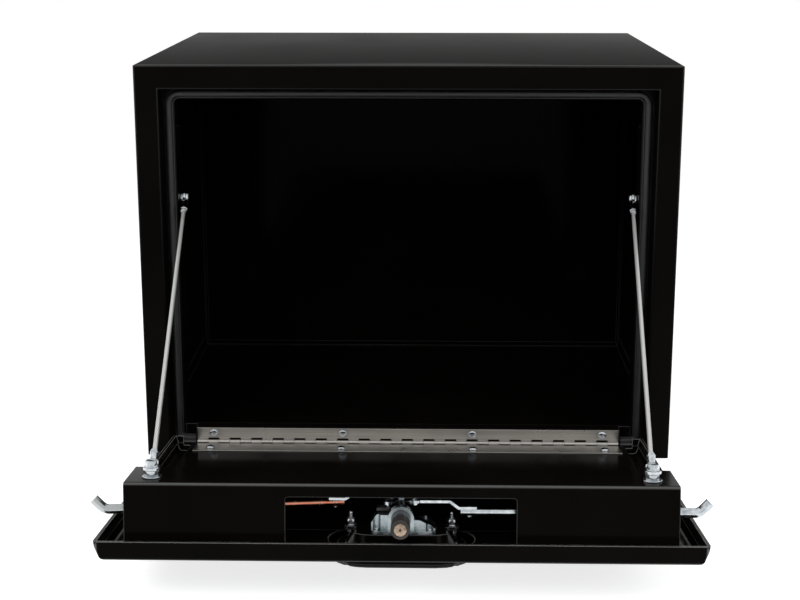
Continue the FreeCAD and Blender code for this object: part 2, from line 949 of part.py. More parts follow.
def make_door_skin():
    """Outer sheet: flared side and top flanges with a hemmed rim, low flange by the hinge."""
    hem_level = rim_level - hem_height
    lower = door_tray(door_sheet, skin_level + door_sheet, hem_level + 0.01, skin_bend - door_sheet)
    upper = door_tray(2 * door_sheet, hem_level, rim_level + 1, 0)
    skin = door_tray(0, skin_level, rim_level, skin_bend)
    low_flange = slab(
        -rim_half + 2 * flange_flare,
        rim_half - 2 * flange_flare,
        door_start - 1,
        door_start + 2 * door_sheet + 1,
        panel_level - door_sheet,
        rim_level + 1,
    )
    opening = oval_block(
        dish_opening_length + 2 * skin_opening_gap,
        dish_opening_width + 2 * skin_opening_gap,
        latch_reach,
        skin_level - 1,
        door_sheet + 2,
    )
    holes = [
        stem(x, a, skin_level - 1, skin_level + door_sheet + 1, dish_screw_radius)
        for x, a in dish_screw_places()
    ]
    return cut(skin, [lower, upper, low_flange, opening] + holes)


def make_door_inner_panel():
    """Inner sheet with its edges turned down to the skin."""
    low = skin_level + door_sheet
    line = [(panel_half, low), (panel_half, panel_level), (-panel_half, panel_level), (-panel_half, low)]
    section = rounded_face(
        bent_sheet(line, door_sheet, bend_inside), lambda u, v: Vector(u, -panel_reach, v)
    )
    panel = section.extrude(Vector(0, panel_reach - door_start, 0))
    lip = slab(
        door_sheet - panel_half,
        panel_half - door_sheet,
        panel_reach - door_sheet,
        panel_reach,
        low,
        panel_level - door_sheet / 2,
    )
    opening = oval_block(
        dish_opening_length + 2 * dish_rim,
        dish_opening_width + 2 * panel_opening_gap,
        latch_reach,
        panel_level - door_sheet - 1,
        door_sheet + 2,
    )
    holes = [
        stem(x, door_screw_reach, panel_level - door_sheet - 1, panel_level + 1, hinge_rivet_radius)
        for x in screw_positions
    ]
    hinge_relief = slab(
        -panel_half - 1, panel_half + 1, 0, door_start + door_sheet, low - 1, panel_level - door_sheet
    )
    return cut(fuse([panel, lip]), [opening, hinge_relief] + holes)


def make_latch_channel():
    """Raised channel along the free edge, with closed ends and a window for the latch."""
    line = [
        (channel_front, panel_level),
        (channel_front, channel_top),
        (channel_back, channel_top),
        (channel_back, panel_level),
    ]
    section = rounded_face(
        bent_sheet(line, door_sheet, channel_bend), lambda u, v: Vector(-channel_half, -u, v)
    )
    channel = section.extrude(Vector(2 * channel_half, 0, 0))
    end = slab(
        channel_half - door_sheet,
        channel_half,
        channel_back + door_sheet,
        channel_front - door_sheet,
        panel_level,
        channel_top - door_sheet,
    )
    window = rounded_face(
        [
            (-window_half, panel_level - 1, 0),
            (window_half, panel_level - 1, 0),
            (window_half, panel_level + window_height, window_corner),
            (-window_half, panel_level + window_height, window_corner),
        ],
        lambda u, v: Vector(u, -channel_front - 1, v),
    ).extrude(Vector(0, door_sheet + 2, 0))
    tools = [window]
    for side in (-1, 1):
        x = side * door_anchor_x
        tools.append(
            stem(x, door_anchor_reach, channel_top - 2 * door_sheet, channel_top + 1, cable_bolt_radius)
        )
        slot_start = side * channel_half - 2 * door_sheet
        tools.append(guide_slot(slot_start, 4 * door_sheet, rod_radius + guide_wall))
    return cut(fuse([channel, end, mirrored(end)]), tools)


# Latch dish: an oval pan through the door, with a stepped bezel outside

def oval_taper(straight, reach, rows):
    """A tapered oval block in the door, through (level, radius) rows."""
    rings = []
    for level, radius in rows:
        outline = oval_wire(straight, radius, reach, level)
        rings.append([vertex.Point for vertex in outline.OrderedVertexes])
    return faceted_solid(rings)


def dish_space(grow):
    """The pan's inside, grown outwards by its wall: an oval bowl below a tray with sloping ends."""
    low = skin_level - dish_proud - (0 if grow else 1)
    ledge = skin_level + dish_ledge + grow
    top = dish_top - dish_wall + grow
    bowl_half = (dish_opening_length - dish_opening_width) / 2
    bowl_radius = dish_opening_width / 2 + grow
    bowl = oval_taper(bowl_half, latch_reach, [(low, bowl_radius), (ledge, bowl_radius - bowl_draft)])
    tray_radius = dish_tray_width / 2 + grow
    tray_rows = [(ledge - 1, tray_radius), (top, tray_radius - tray_draft)]
    tray = oval_taper(dish_tray_straight, latch_reach + dish_shift, tray_rows)
    ends = rounded_face(
        [
            (-dish_tray_low_half - grow, ledge - 1, 0),
            (dish_tray_low_half + grow, ledge - 1, 0),
            (dish_tray_top_half + grow, top, tray_edge_radius),
            (-dish_tray_top_half - grow, top, tray_edge_radius),
        ],
        lambda u, v: Vector(u, -latch_reach - dish_opening_width, v),
        edge_steps,
    ).extrude(Y_AXIS * (2 * dish_opening_width))
    return fuse([bowl, tray.common(ends)])


def make_handle_dish():
    """Pan with bezel, crown, two stud ears and the hole for the spindle."""
    low = skin_level - dish_proud
    bezel_top = skin_level - gasket_sheet
    length = dish_opening_length + 2 * dish_rim
    width = dish_opening_width + 2 * bezel_margin
    straight = (length - width) / 2
    bezel = oval_block(length, width, latch_reach, bezel_step, bezel_top - bezel_step)
    crown = oval_taper(
        straight,
        latch_reach,
        [
            (low, width / 2 - crown_inset),
            (low + crown_rise, width / 2 - crown_shoulder),
            (bezel_step, width / 2 - crown_top_inset),
        ],
    )
    pieces = [dish_space(dish_wall), bezel, crown]
    for side in (-1, 1):
        x = side * stud_x
        inner_x = side * (stud_x - ear_length)
        ear_base = dish_top - ear_sheet
        pieces.append(stem(x, latch_reach, ear_base, dish_top, ear_radius))
        low_x, high_x = min(x, inner_x), max(x, inner_x)
        pieces.append(
            slab(low_x, high_x, latch_reach - ear_radius, latch_reach + ear_radius, ear_base, dish_top)
        )
    dish = fuse(pieces)
    tools = [dish_space(0)]
    tools.append(post(0, latch_reach, dish_top - dish_wall - 1, dish_top + 1, spindle_radius + running_gap))
    for side in (-1, 1):
        tools.append(stem(side * stud_x, latch_reach, dish_top - ear_sheet - 1, dish_top + 1, stud_radius))
    for x, a in dish_screw_places():
        tools.append(stem(x, a, low - 1, skin_level, dish_screw_radius))
        tools.append(stem(x, a, low - 1, screw_seat, dish_screw_radius * 2))
    for x, a in housing_screw_places():
        tools.append(stem(x, a, dish_top - dish_wall - 1, dish_top + 1, dish_screw_radius))
    return cut(dish, tools)


def make_dish_gasket():
    """Flat rubber ring between the bezel and the skin."""
    low = skin_level - gasket_sheet
    length = dish_opening_length + 2 * (dish_rim - gasket_inset)
    width = dish_opening_width + 2 * (bezel_margin - gasket_inset)
    ring = oval_block(length, width, latch_reach, low, gasket_sheet)
    hole = oval_block(
        dish_opening_length + 2 * skin_opening_gap,
        dish_opening_width + 2 * skin_opening_gap,
        latch_reach,
        low - 1,
        gasket_sheet + 2,
    )
    screws = [stem(x, a, low - 1, skin_level + 1, dish_screw_radius) for x, a in dish_screw_places()]
    return cut(ring, [hole] + screws)


def make_dish_screw(x, a):
    """Small screw of the bezel; its bright tip shows inside the door."""
    head_radius = dish_screw_radius * 2 - screw_head_gap
    length = screw_tip_level - screw_seat
    rows = [
        (0, head_radius),
        (screw_head_height, head_radius),
        (screw_head_height, dish_screw_radius),
        (screw_head_height + length - screw_point, dish_screw_radius),
        (screw_head_height + length, dish_screw_radius - screw_point),
    ]
    return turned(Vector(x, -a, screw_seat - screw_head_height), Z_AXIS, rows)


def make_dish_stud(x):
    """Stud fixed in an ear of the dish."""
    base = dish_top - ear_sheet
    length = stud_top - base
    rows = [(0, stud_radius), (length - screw_point, stud_radius), (length, stud_radius - stud_point)]
    return turned(Vector(x, -latch_reach, base), Z_AXIS, rows)


def stacked_washer(x, base, thickness, radius):
    """Washer on a stud."""
    ring = stem(x, latch_reach, base, base + thickness, radius)
    return ring.cut(stem(x, latch_reach, base - 1, base + thickness + 1, stud_radius))


def stud_stack(x):
    """Washers and nut of one stud, from the ear upwards."""
    nut_base = dish_top + stud_washer_sheet
    nut_top = nut_base + stud_nut_height
    washer = stacked_washer(x, dish_top, stud_washer_sheet, ear_radius)
    nut = hexagon(x, latch_reach, nut_base, nut_top, stud_nut_flats)
    nut = nut.cut(stem(x, latch_reach, nut_base - 1, nut_top + 1, stud_radius))
    spring = stacked_washer(x, nut_top, spring_washer_sheet, stud_nut_flats / 2)
    return [washer, spring], nut


# Latch casting

def housing_screw_places():
    """Centres of the casting's fixing screws."""
    low = latch_reach - foot_screw_low
    high = latch_reach + foot_screw_high
    return [(-foot_screw_x, low), (foot_screw_x, low), (-foot_screw_x, high), (foot_screw_far_x, high)]


def make_latch_housing():
    """Zinc casting: foot, spindle bearing, side shoulders and the centre bolt's guide."""
    foot_top = dish_top + housing_foot
    foot = rounded_face(
        [
            (-foot_half, latch_reach - foot_low, foot_low_edge),
            (foot_half, latch_reach - foot_low, foot_low_edge),
            (foot_wide_half, latch_reach + foot_wide_reach, foot_high_edge),
            (foot_end_half, latch_reach + foot_high, foot_high_edge),
            (-foot_half, latch_reach + foot_high, foot_high_edge),
        ],
        lambda u, v: Vector(u, -v, dish_top),
        edge_steps,
    ).extrude(Vector(0, 0, housing_foot))
    bearing_top = centre_bolt_level - centre_bolt_radius - running_gap
    bearing = stem(0, latch_reach, dish_top, bearing_top, bearing_radius)
    guide_start = latch_reach + guide_setback
    guide = many_sided(
        Vector(0, -guide_start, centre_bolt_level), Y_AXIS * -1, guide_outer, guide_length, bolt_sides
    )
    guide_foot = slab(
        -guide_outer, guide_outer, guide_start, guide_start + guide_length, dish_top, centre_bolt_level
    )
    cheek = centre_bolt_radius + cheek_gap
    wing_top = shoulder_top - wing_drop
    shoulder_start = guide_start + shoulder_setback
    shoulder = rounded_face(
        [
            (-foot_half, dish_top, 0),
            (-cheek, dish_top, 0),
            (-cheek, shoulder_top, 2),
            (-shoulder_flat_half, shoulder_top, 4),
            (-foot_half, shoulder_top - shoulder_drop, 2),
        ],
        lambda u, v: Vector(u, -shoulder_start, v),
        edge_steps,
    ).extrude(Vector(0, shoulder_length, 0))
    wing = rounded_face(
        [
            (cheek, dish_top, 0),
            (wing_half, dish_top, 0),
            (wing_half, foot_top + wing_rise, 0),
            (wing_shelf, wing_top, wing_edge),
            (cheek, wing_top, 0),
        ],
        lambda u, v: Vector(u, -shoulder_start, v),
        edge_steps,
    ).extrude(Vector(0, wing_length, 0))
    casting = fuse([foot, bearing, guide, guide_foot, shoulder, wing])
    bolt_bore = centre_bolt_radius + guide_clearance
    tools = [
        pin(Vector(0, 1 - guide_start, centre_bolt_level), Y_AXIS * -1, bolt_bore, guide_length + 2),
        post(0, latch_reach, dish_top - 1, centre_bolt_level, spindle_radius + spindle_clearance),
    ]
    for x, a in housing_screw_places():
        tools.append(stem(x, a, dish_top - 1, foot_top + 1, dish_screw_radius))
        tools.append(stem(x, a, foot_top, shoulder_top + 2, dish_screw_radius * 2 + foot_screw_relief))
    return cut(casting, tools)


def make_housing_screw(x, a):
    """Screw that holds the casting on the pan."""
    bottom = dish_top - dish_wall
    seat = dish_wall + housing_foot
    rows = [
        (0, dish_screw_radius),
        (seat, dish_screw_radius),
        (seat, dish_screw_radius * 2),
        (seat + foot_screw_head, dish_screw_radius * 2),
    ]
    return turned(Vector(x, -a, bottom), Z_AXIS, rows)


# Handle, lever and lock

def make_t_handle():
    """Recessed T-handle with its neck and stepped spindle."""
    bar = oval_block(handle_length, handle_width, latch_reach, handle_low, handle_high - handle_low)
    hub_radius = lock_radius + handle_hub_wall
    hub = stem(0, latch_reach, handle_low, handle_high, hub_radius)
    waist = fuse([bar, hub]).common(handle_profile())
    neck_top = dish_top - dish_wall - running_gap
    neck_rows = [(0, hub_radius), (neck_top - handle_high, bearing_radius)]
    neck = turned(Vector(0, -latch_reach, handle_high), Z_AXIS, neck_rows)
    spindle = post(0, latch_reach, neck_top, lever_level, spindle_radius)
    seat = stem(0, latch_reach, lever_level, spindle_nut_level, spindle_radius - spindle_seat_step)
    thread_top = spindle_nut_level + spindle_thread_length
    thread = stem(0, latch_reach, spindle_nut_level, thread_top, spindle_radius - spindle_thread_step)
    pocket = post(0, latch_reach, handle_low - 1, lock_back, lock_radius)
    return fuse([waist, neck, spindle, seat, thread]).cut(pocket)


def handle_profile():
    """The bar seen from the side: thick at the hub, slimmer and rounded at its ends."""
    half = handle_length / 2
    flank = lock_radius + handle_hub_flank
    end_low = handle_low + handle_end_taper
    return rounded_face(
        [
            (-half, end_low, handle_end_edge),
            (-flank, handle_low, handle_hub_flank),
            (flank, handle_low, handle_hub_flank),
            (half, end_low, handle_end_edge),
            (half, handle_high, handle_end_edge),
            (-half, handle_high, handle_end_edge),
        ],
        lambda u, v: Vector(u, -latch_reach - handle_width, v),
        edge_steps,
    ).extrude(Vector(0, 2 * handle_width, 0))


def make_lock_cylinder():
    """Lock case pressed in the handle."""
    case = post(0, latch_reach, handle_low - lock_proud, lock_back, lock_radius)
    bore_radius = plug_radius + spindle_clearance
    bore = post(0, latch_reach, handle_low - lock_proud - 1, lock_back - lock_floor, bore_radius)
    return case.cut(bore)


def make_lock_plug():
    """Plug that the key turns, with its keyway."""
    plug = post(0, latch_reach, handle_low - plug_proud, lock_back - lock_floor, plug_radius)
    keyway = slab(
        -keyway_half,
        keyway_half,
        latch_reach - keyway_reach,
        latch_reach + keyway_reach,
        handle_low - plug_proud - 1,
        lock_back - keyway_end,
    )
    return plug.cut(keyway)


def lever_pin_place(degrees):
    """Centre of a lever pin at an angle from +x towards the free edge."""
    angle = math.radians(degrees)
    return lever_pin_circle * math.cos(angle), latch_reach + lever_pin_circle * math.sin(angle)


def make_lever_plate():
    """Three-armed lever: two pins up for the rods, one down for the centre bolt."""
    arm_half = lever_pin_radius + lever_arm_margin
    pieces = [post(0, latch_reach, lever_level, spindle_nut_level, bearing_radius)]
    for degrees in (rod_pin_angles + [bolt_pin_angle]):
        x, a = lever_pin_place(degrees)
        pieces.append(stem(x, a, lever_level, spindle_nut_level, arm_half))
        arm = box(0, lever_pin_circle, -arm_half, arm_half, lever_level, spindle_nut_level)
        arm.rotate(Vector(0, 0, 0), Z_AXIS, -degrees)
        arm.translate(Vector(0, -latch_reach, 0))
        pieces.append(arm)
    for degrees in rod_pin_angles:
        x, a = lever_pin_place(degrees)
        pin_top = link_level + link_sheet + lever_pin_stand
        pieces.append(stem(x, a, spindle_nut_level, pin_top, lever_pin_radius))
    x, a = lever_pin_place(bolt_pin_angle)
    pieces.append(stem(x, a, tab_level - 0.5, lever_level, lever_pin_radius))
    hole_radius = spindle_radius - spindle_seat_step
    hole = stem(0, latch_reach, lever_level - 1, spindle_nut_level + 1, hole_radius)
    return fuse(pieces).cut(hole)


def make_pin_clip(degrees):
    """Retaining ring on a rod pin, above its link."""
    x, a = lever_pin_place(degrees)
    base = link_level + link_sheet + running_gap
    ring = stem(x, a, base, base + clip_sheet, lever_pin_radius + clip_width)
    return ring.cut(stem(x, a, base - 1, base + clip_sheet + 1, lever_pin_radius))


def make_spindle_nut():
    """Nut that holds the lever on the spindle."""
    top = spindle_nut_level + spindle_nut_height
    nut = hexagon(0, latch_reach, spindle_nut_level, top, spindle_nut_flats)
    bore_radius = spindle_radius - spindle_thread_step
    return nut.cut(stem(0, latch_reach, spindle_nut_level - 1, top + 1, bore_radius))


# Bolts: two rods that bend into the case's sides, and the round centre bolt

def rod_place(side):
    """Placement of a rod: x runs outwards from its inner end, z is its level."""
    if side > 0:
        return Placement(Vector(rod_inner_end, -rod_line, rod_level), Rotation())
    start = Vector(-rod_inner_end, rod_offset - latch_reach, rod_level)
    return Placement(start, Rotation(Z_AXIS, 180 + math.degrees(left_slope)))


def make_rod(side):
    """Round rod with a flat for its link and a tip bent at its outer end."""
    slope = left_slope if side < 0 else 0
    corner_x = (channel_half + rod_reach - rod_inner_end) / math.cos(slope)
    angle = math.radians(rod_tip_angle)
    tip = Vector(corner_x + rod_tip_length * math.cos(angle), 0, rod_tip_length * math.sin(angle))
    rod = bent_rod([Vector(0, 0, 0), Vector(corner_x, 0, 0), tip], rod_radius, rod_bend_radius)
    flat_low = link_low_level - rod_level
    flat_end = link_end - rod_inner_end + link_flat_overrun
    flat = box(-1, flat_end, -rod_radius - 1, rod_radius + 1, flat_low, rod_radius + 1)
    hole_start = Vector(link_rivet_x - rod_inner_end, 0, -rod_radius - 1)
    hole = pin(hole_start, Z_AXIS, link_rivet_radius, 2 * rod_radius + 2)
    rod = cut(rod, [flat, hole])
    rod.Placement = rod_place(side).multiply(rod.Placement)
    return rod


def link_rivet_place(side):
    """Where the link's rivet stands on the rod."""
    point = rod_place(side).multVec(Vector(link_rivet_x - rod_inner_end, 0, 0))
    return point.x, -point.y


def slot_span(side):
    """Reach of the slot's two ends, from the pin's path seen from the sliding link."""
    start_angle = rod_pin_angles[0] if side < 0 else rod_pin_angles[1]
    slope = left_slope if side < 0 else 0
    reaches = []
    for step in range(0, 91, 5):
        reach = lever_pin_place(start_angle + step)[1]
        reaches.append(reach + bolt_travel * step / 90 * math.sin(slope))
    end_room = lever_pin_radius + running_gap
    return min(reaches) - end_room, max(reaches) + end_room


def make_rod_link(side):
    """Joggled flat link: a slotted eye over the lever pin, a foot riveted on the rod."""
    pin_x = bolt_travel / 2
    slot_low, slot_high = slot_span(side)
    slot_half = lever_pin_radius + slot_clearance
    eye_half = slot_half + link_eye_wall
    foot_x, foot_reach = link_rivet_place(side)
    eye_reach = (slot_low + slot_high) / 2
    line = [
        (pin_x - eye_half, link_level),
        (joggle_start, link_level),
        (joggle_end, link_low_level),
        (link_end, link_low_level),
    ]
    section = rounded_face(
        bent_sheet(line, link_sheet, link_bend), lambda u, v: Vector(u, -slot_high - link_margin, v)
    )
    strip = section.extrude(Vector(0, slot_high - slot_low + 2 * link_margin, 0))
    eye_low = slot_low - link_eye_end
    eye_high = slot_high + link_eye_end
    eye = rounded_face(
        [
            (pin_x - eye_half, eye_low, link_eye_corner),
            (pin_x + eye_half, eye_low, link_eye_corner),
            (pin_x + eye_half, eye_high, link_eye_corner),
            (pin_x - eye_half, eye_high, link_eye_corner),
        ],
        lambda u, v: Vector(u, -v, link_low_level - 1),
        edge_steps,
    )
    strap = rounded_face(
        [
            (pin_x, eye_reach - link_waist_half, 0),
            (link_end, foot_reach - link_foot_half, link_eye_corner),
            (link_end, foot_reach + link_foot_half, link_eye_corner),
            (pin_x, eye_reach + link_waist_half, 0),
        ],
        lambda u, v: Vector(u, -v, link_low_level - 1),
        edge_steps,
    )
    tall = Vector(0, 0, link_level - link_low_level + link_sheet + 2)
    outline = fuse([eye.extrude(tall), strap.extrude(tall)])
    slot = rounded_face(
        [
            (pin_x - slot_half, slot_low, link_slot_corner),
            (pin_x + slot_half, slot_low, link_slot_corner),
            (pin_x + slot_half, slot_high, link_slot_corner),
            (pin_x - slot_half, slot_high, link_slot_corner),
        ],
        lambda u, v: Vector(u, -v, link_low_level - 1),
        edge_steps,
    ).extrude(tall)
    hole = stem(abs(foot_x), foot_reach, link_low_level - 1, link_level + link_sheet + 1, link_rivet_radius)
    link = cut(strip.common(outline), [slot, hole])
    return link if side > 0 else mirrored(link)


def make_link_rivet(side):
    """Rivet through a link and the flat of its rod."""
    x, a = link_rivet_place(side)
    tail = link_rivet_tail
    grip = link_low_level + link_sheet - rod_level + rod_radius
    rows = [
        (0, link_rivet_radius),
        (tail, link_rivet_radius + link_rivet_flare),
        (tail, link_rivet_radius),
        (tail + grip, link_rivet_radius),
    ]
    rows += dome_rows(tail + grip, link_rivet_radius + link_rivet_head, link_rivet_head)
    return turned(Vector(x, -a, rod_level - rod_radius - tail), Z_AXIS, rows)


def make_rod_guide(side):
    """Nylon bush in the channel's end wall, slotted so that the rod's bent tip can draw in."""
    wall_out = channel_half
    wall_in = channel_half - door_sheet
    radius = rod_radius + guide_wall
    body = guide_slot(wall_in - bush_flange, door_sheet + 2 * bush_flange, radius)
    inner = guide_slot(wall_in - bush_flange, bush_flange, radius + bush_lip)
    outer = guide_slot(wall_out, bush_flange, radius + bush_lip)
    bush = fuse([body, inner, outer])
    if side < 0:
        bush = mirrored(bush)
    clear = hole_corner(rod_radius + guide_clearance, 2 * tiny_sides)
    bore = upright_slot(Vector(0, 0, 0), 2 * channel_half, clear)
    bore.Placement = rod_place(side).multiply(bore.Placement)
    return bush.cut(bore)


def make_centre_bolt_sleeve():
    """Grooved sleeve, forked round the spindle, with a slotted tab for the lever pin."""
    length = bolt_tip - bolt_rear
    grooved = centre_bolt_radius - groove_depth
    rows = [(0, centre_bolt_radius)]
    for index in reversed(range(groove_count)):
        start = length - groove_start - index * groove_pitch
        end = start + groove_width
        rows += [(start, centre_bolt_radius), (start, grooved), (end, grooved), (end, centre_bolt_radius)]
    rows += [(length - nose_chamfer, centre_bolt_radius), (length, centre_bolt_radius - nose_chamfer)]
    rear = Vector(0, -bolt_rear, centre_bolt_level)
    body = turned(rear, Y_AXIS * -1, rows, bolt_sides)
    pin_x, pin_reach = lever_pin_place(bolt_pin_angle)
    slot_half = lever_pin_radius + slot_clearance
    slot_out = -lever_pin_circle - slot_half
    slot_in = pin_x + slot_half
    tab = slab(
        slot_out - tab_end_wall,
        -centre_bolt_radius * tab_root_share,
        pin_reach - slot_half - tab_side_wall,
        pin_reach + slot_half + tab_side_wall,
        tab_level,
        tab_level + tab_sheet,
    )
    fork_half = spindle_radius + running_gap
    low = centre_bolt_level - centre_bolt_radius - 1
    high = centre_bolt_level + centre_bolt_radius + 1
    fork = slab(-fork_half, fork_half, bolt_rear - 1, bolt_rear + bolt_travel, low, high)
    pin_slot = slab(
        slot_out,
        slot_in,
        pin_reach - slot_half,
        pin_reach + slot_half,
        tab_level - 1,
        tab_level + tab_sheet + 1,
    )
    core_start = Vector(0, core_length - bolt_tip, centre_bolt_level)
    core_bore = many_sided(core_start, Y_AXIS * -1, bolt_core_radius, core_length + 1, bolt_sides)
    return cut(fuse([body, tab]), [fork, pin_slot, core_bore])


def make_centre_bolt_core():
    """Brass core in the sleeve's nose with its centre hole."""
    start = Vector(0, core_length - bolt_tip, centre_bolt_level)
    rows = [
        (0, bolt_core_radius),
        (core_length, bolt_core_radius),
        (core_length + core_chamfer, bolt_core_radius - core_chamfer),
    ]
    core = turned(start, Y_AXIS * -1, rows, bolt_sides)
    hole_start = Vector(0, core_hole_depth - bolt_tip, centre_bolt_level)
    hole = many_sided(hole_start, Y_AXIS * -1, core_hole_radius, core_hole_depth + 2, tiny_sides)
    return core.cut(hole)


# Stay cables with their crimped eyes and bolts

def upper_eye(side):
    """Centre of the eye on the case."""
    x = seat_edge_half - anchor_spacer - lug_sheet / 2
    return Vector(side * x, front + anchor_depth, anchor_height)


def lower_bend(side):
    """Point where the door's eye turns up into the cable's line."""
    bolt = Vector(side * door_anchor_x, -door_anchor_reach, channel_top + door_anchor_rise)
    target = door_place.inverse().multVec(upper_eye(side))
    flat = Vector(target.x - bolt.x, target.y - bolt.y, 0).normalize()
    return bolt, flat, bolt + flat * lug_bend


def cable_line(side):
    """Lower point, direction and length of the taut line between the eyes."""
    low = door_place.multVec(lower_bend(side)[2])
    run = upper_eye(side) - low
    length = run.Length
    return low, run.normalize(), length


def make_cable(side):
    """Taut coated wire rope between its two ferrules."""
    low, direction, length = cable_line(side)
    free_length = length - 2 * ferrule_length - ferrule_start
    print("cable", side, "free length", round(free_length, 1), "eye to eye", round(length + lug_bend, 1))
    return pin(low + direction * ferrule_length, direction, cable_radius, free_length)


def oriented_block(start, direction, normal, length, width, thickness):
    """A flat bar from a point along a direction, its thickness along the normal."""
    side = normal.cross(direction).normalize()
    square = direction.cross(side)
    bar = box(0, length, -width / 2, width / 2, -thickness / 2, thickness / 2)
    bar.Placement = Placement(start, Rotation(direction, side, square, "XZY"))
    return bar


def make_lower_ferrule(side):
    """Crimped eye on the door: flat lug, bent tongue, stepped barrel."""
    bolt, flat, bend = lower_bend(side)
    level = bolt.z
    reach = -bolt.y
    disc = stem(bolt.x, reach, level - lug_sheet / 2, level + lug_sheet / 2, lug_radius)
    tongue = oriented_block(bolt, flat, Z_AXIS, lug_bend + tongue_overlap, lug_width, lug_sheet)
    hole = stem(bolt.x, reach, level - lug_sheet, level + lug_sheet, cable_bolt_radius)
    lug = on_door(fuse([disc, tongue]).cut(hole))
    low, direction, length = cable_line(side)
    slope = oriented_block(
        low - direction * slope_start, direction, Z_AXIS, barrel_start + slope_overlap, lug_width, lug_sheet
    )
    rows = [
        (0, ferrule_radius),
        (collar_start, ferrule_radius),
        (collar_start, ferrule_radius + collar_step),
        (collar_start + collar_length, ferrule_radius + collar_step),
        (collar_start + collar_length, ferrule_radius),
        (ferrule_length - barrel_start, ferrule_radius),
    ]
    barrel = turned(low + direction * barrel_start, direction, rows)
    return fuse([lug, slope, barrel])


def make_upper_ferrule(side):
    """Crimped eye on the case: flat lug against the washer, barrel along the cable."""
    eye = upper_eye(side)
    low, direction, length = cable_line(side)
    inner = X_AXIS * (lug_sheet / 2)
    disc = many_sided(eye - inner, X_AXIS, lug_radius, lug_sheet)
    along = Vector(0, -direction.y, -direction.z).normalize()
    tongue_length = ferrule_start + upper_tongue_overlap
    tongue = oriented_block(eye, along, X_AXIS, tongue_length, lug_width, lug_sheet)
    hole = many_sided(eye - inner * 2, X_AXIS, cable_bolt_radius, lug_sheet * 2)
    barrel_end = eye - direction * (ferrule_start + ferrule_length)
    rows = [
        (0, ferrule_radius),
        (barrel_end_run, ferrule_radius),
        (barrel_end_run, ferrule_radius + collar_step),
        (barrel_end_run + collar_length, ferrule_radius + collar_step),
        (barrel_end_run + collar_length, ferrule_radius),
        (ferrule_length, ferrule_radius),
    ]
    barrel = turned(barrel_end, direction, rows)
    return fuse([disc, tongue, barrel]).cut(hole)


def hexagon_along_x(x0, x1, y, z, across_flats):
    """A hexagonal nut whose axis runs along x."""
    nut = hexagon(0, 0, 0, x1 - x0, across_flats)
    nut.Placement = Placement(Vector(x0, y, z), Rotation(Y_AXIS, 90))
    return nut


def make_anchor_bolt(side):
    """Domed bolt through the cable's eye and the case's flange."""
    eye = upper_eye(1)
    head_face = eye.x - lug_sheet / 2
    end = seat_edge_half + case_sheet + anchor_nut + anchor_tail
    shank = end - head_face
    rows = [(0, cable_bolt_radius), (shank, cable_bolt_radius), (shank, anchor_head_radius)]
    rows += dome_rows(shank + anchor_collar, anchor_head_radius, anchor_dome)
    bolt = turned(Vector(end, eye.y, eye.z), X_AXIS * -1, rows)
    return bolt if side > 0 else mirrored(bolt)


def make_anchor_washer(side):
    """Thick washer between the flange and the eye."""
    eye = upper_eye(1)
    start = Vector(eye.x + lug_sheet / 2, eye.y, eye.z)
    ring = many_sided(start, X_AXIS, anchor_washer_radius, anchor_spacer)
    ring = ring.cut(many_sided(start - X_AXIS, X_AXIS, cable_bolt_radius, anchor_spacer + 2))
    return ring if side > 0 else mirrored(ring)


def make_anchor_nut(side):
    """Nut behind the flange, inside the hollow post."""
    eye = upper_eye(1)
    start = seat_edge_half + case_sheet
    nut = hexagon_along_x(start, start + anchor_nut, eye.y, eye.z, cable_nut_flats)
    nut = nut.cut(many_sided(Vector(start - 1, eye.y, eye.z), X_AXIS, cable_bolt_radius, anchor_nut + 2))
    return nut if side > 0 else mirrored(nut)


def cable_bolt_levels():
    """Levels of the stack on the channel: washer, spacer nut, eye, washer, head."""
    eye_low = channel_top + door_anchor_rise - lug_sheet / 2
    washer_top = channel_top + low_washer_sheet
    eye_high = eye_low + lug_sheet
    return washer_top, eye_low, eye_high, eye_high + high_washer_sheet


def make_cable_door_bolt(side):
    """Hexagon bolt down through the stack and the channel's top."""
    head_base = cable_bolt_levels()[3]
    x = side * door_anchor_x
    bottom = channel_top - door_sheet - anchor_nut - bolt_tail
    shank = stem(x, door_anchor_reach, bottom, head_base, cable_bolt_radius)
    head = hexagon(x, door_anchor_reach, head_base, head_base + cable_head_height, cable_nut_flats)
    return fuse([shank, head])


def make_cable_door_washers(side):
    """Washer on the channel and washer under the head."""
    washer_top, eye_low, eye_high, head_base = cable_bolt_levels()
    x = side * door_anchor_x
    hole = stem(x, door_anchor_reach, channel_top - 1, head_base + 1, cable_bolt_radius)
    low = stem(x, door_anchor_reach, channel_top, washer_top, lug_radius + low_washer_margin).cut(hole)
    high = stem(x, door_anchor_reach, eye_high, head_base, anchor_head_radius).cut(hole)
    return [low, high]


def make_cable_door_nuts(side):
    """Spacer nut under the eye and lock nut under the channel's top."""
    washer_top, eye_low, eye_high, head_base = cable_bolt_levels()
    x = side * door_anchor_x
    under = channel_top - door_sheet
    hole = stem(x, door_anchor_reach, under - anchor_nut - 1, eye_high, cable_bolt_radius)
    spacer = hexagon(x, door_anchor_reach, washer_top, eye_low, cable_nut_flats).cut(hole)
    lock = hexagon(x, door_anchor_reach, under - anchor_nut, under, cable_nut_flats).cut(hole)
    return [spacer, lock]


# The sub-parts

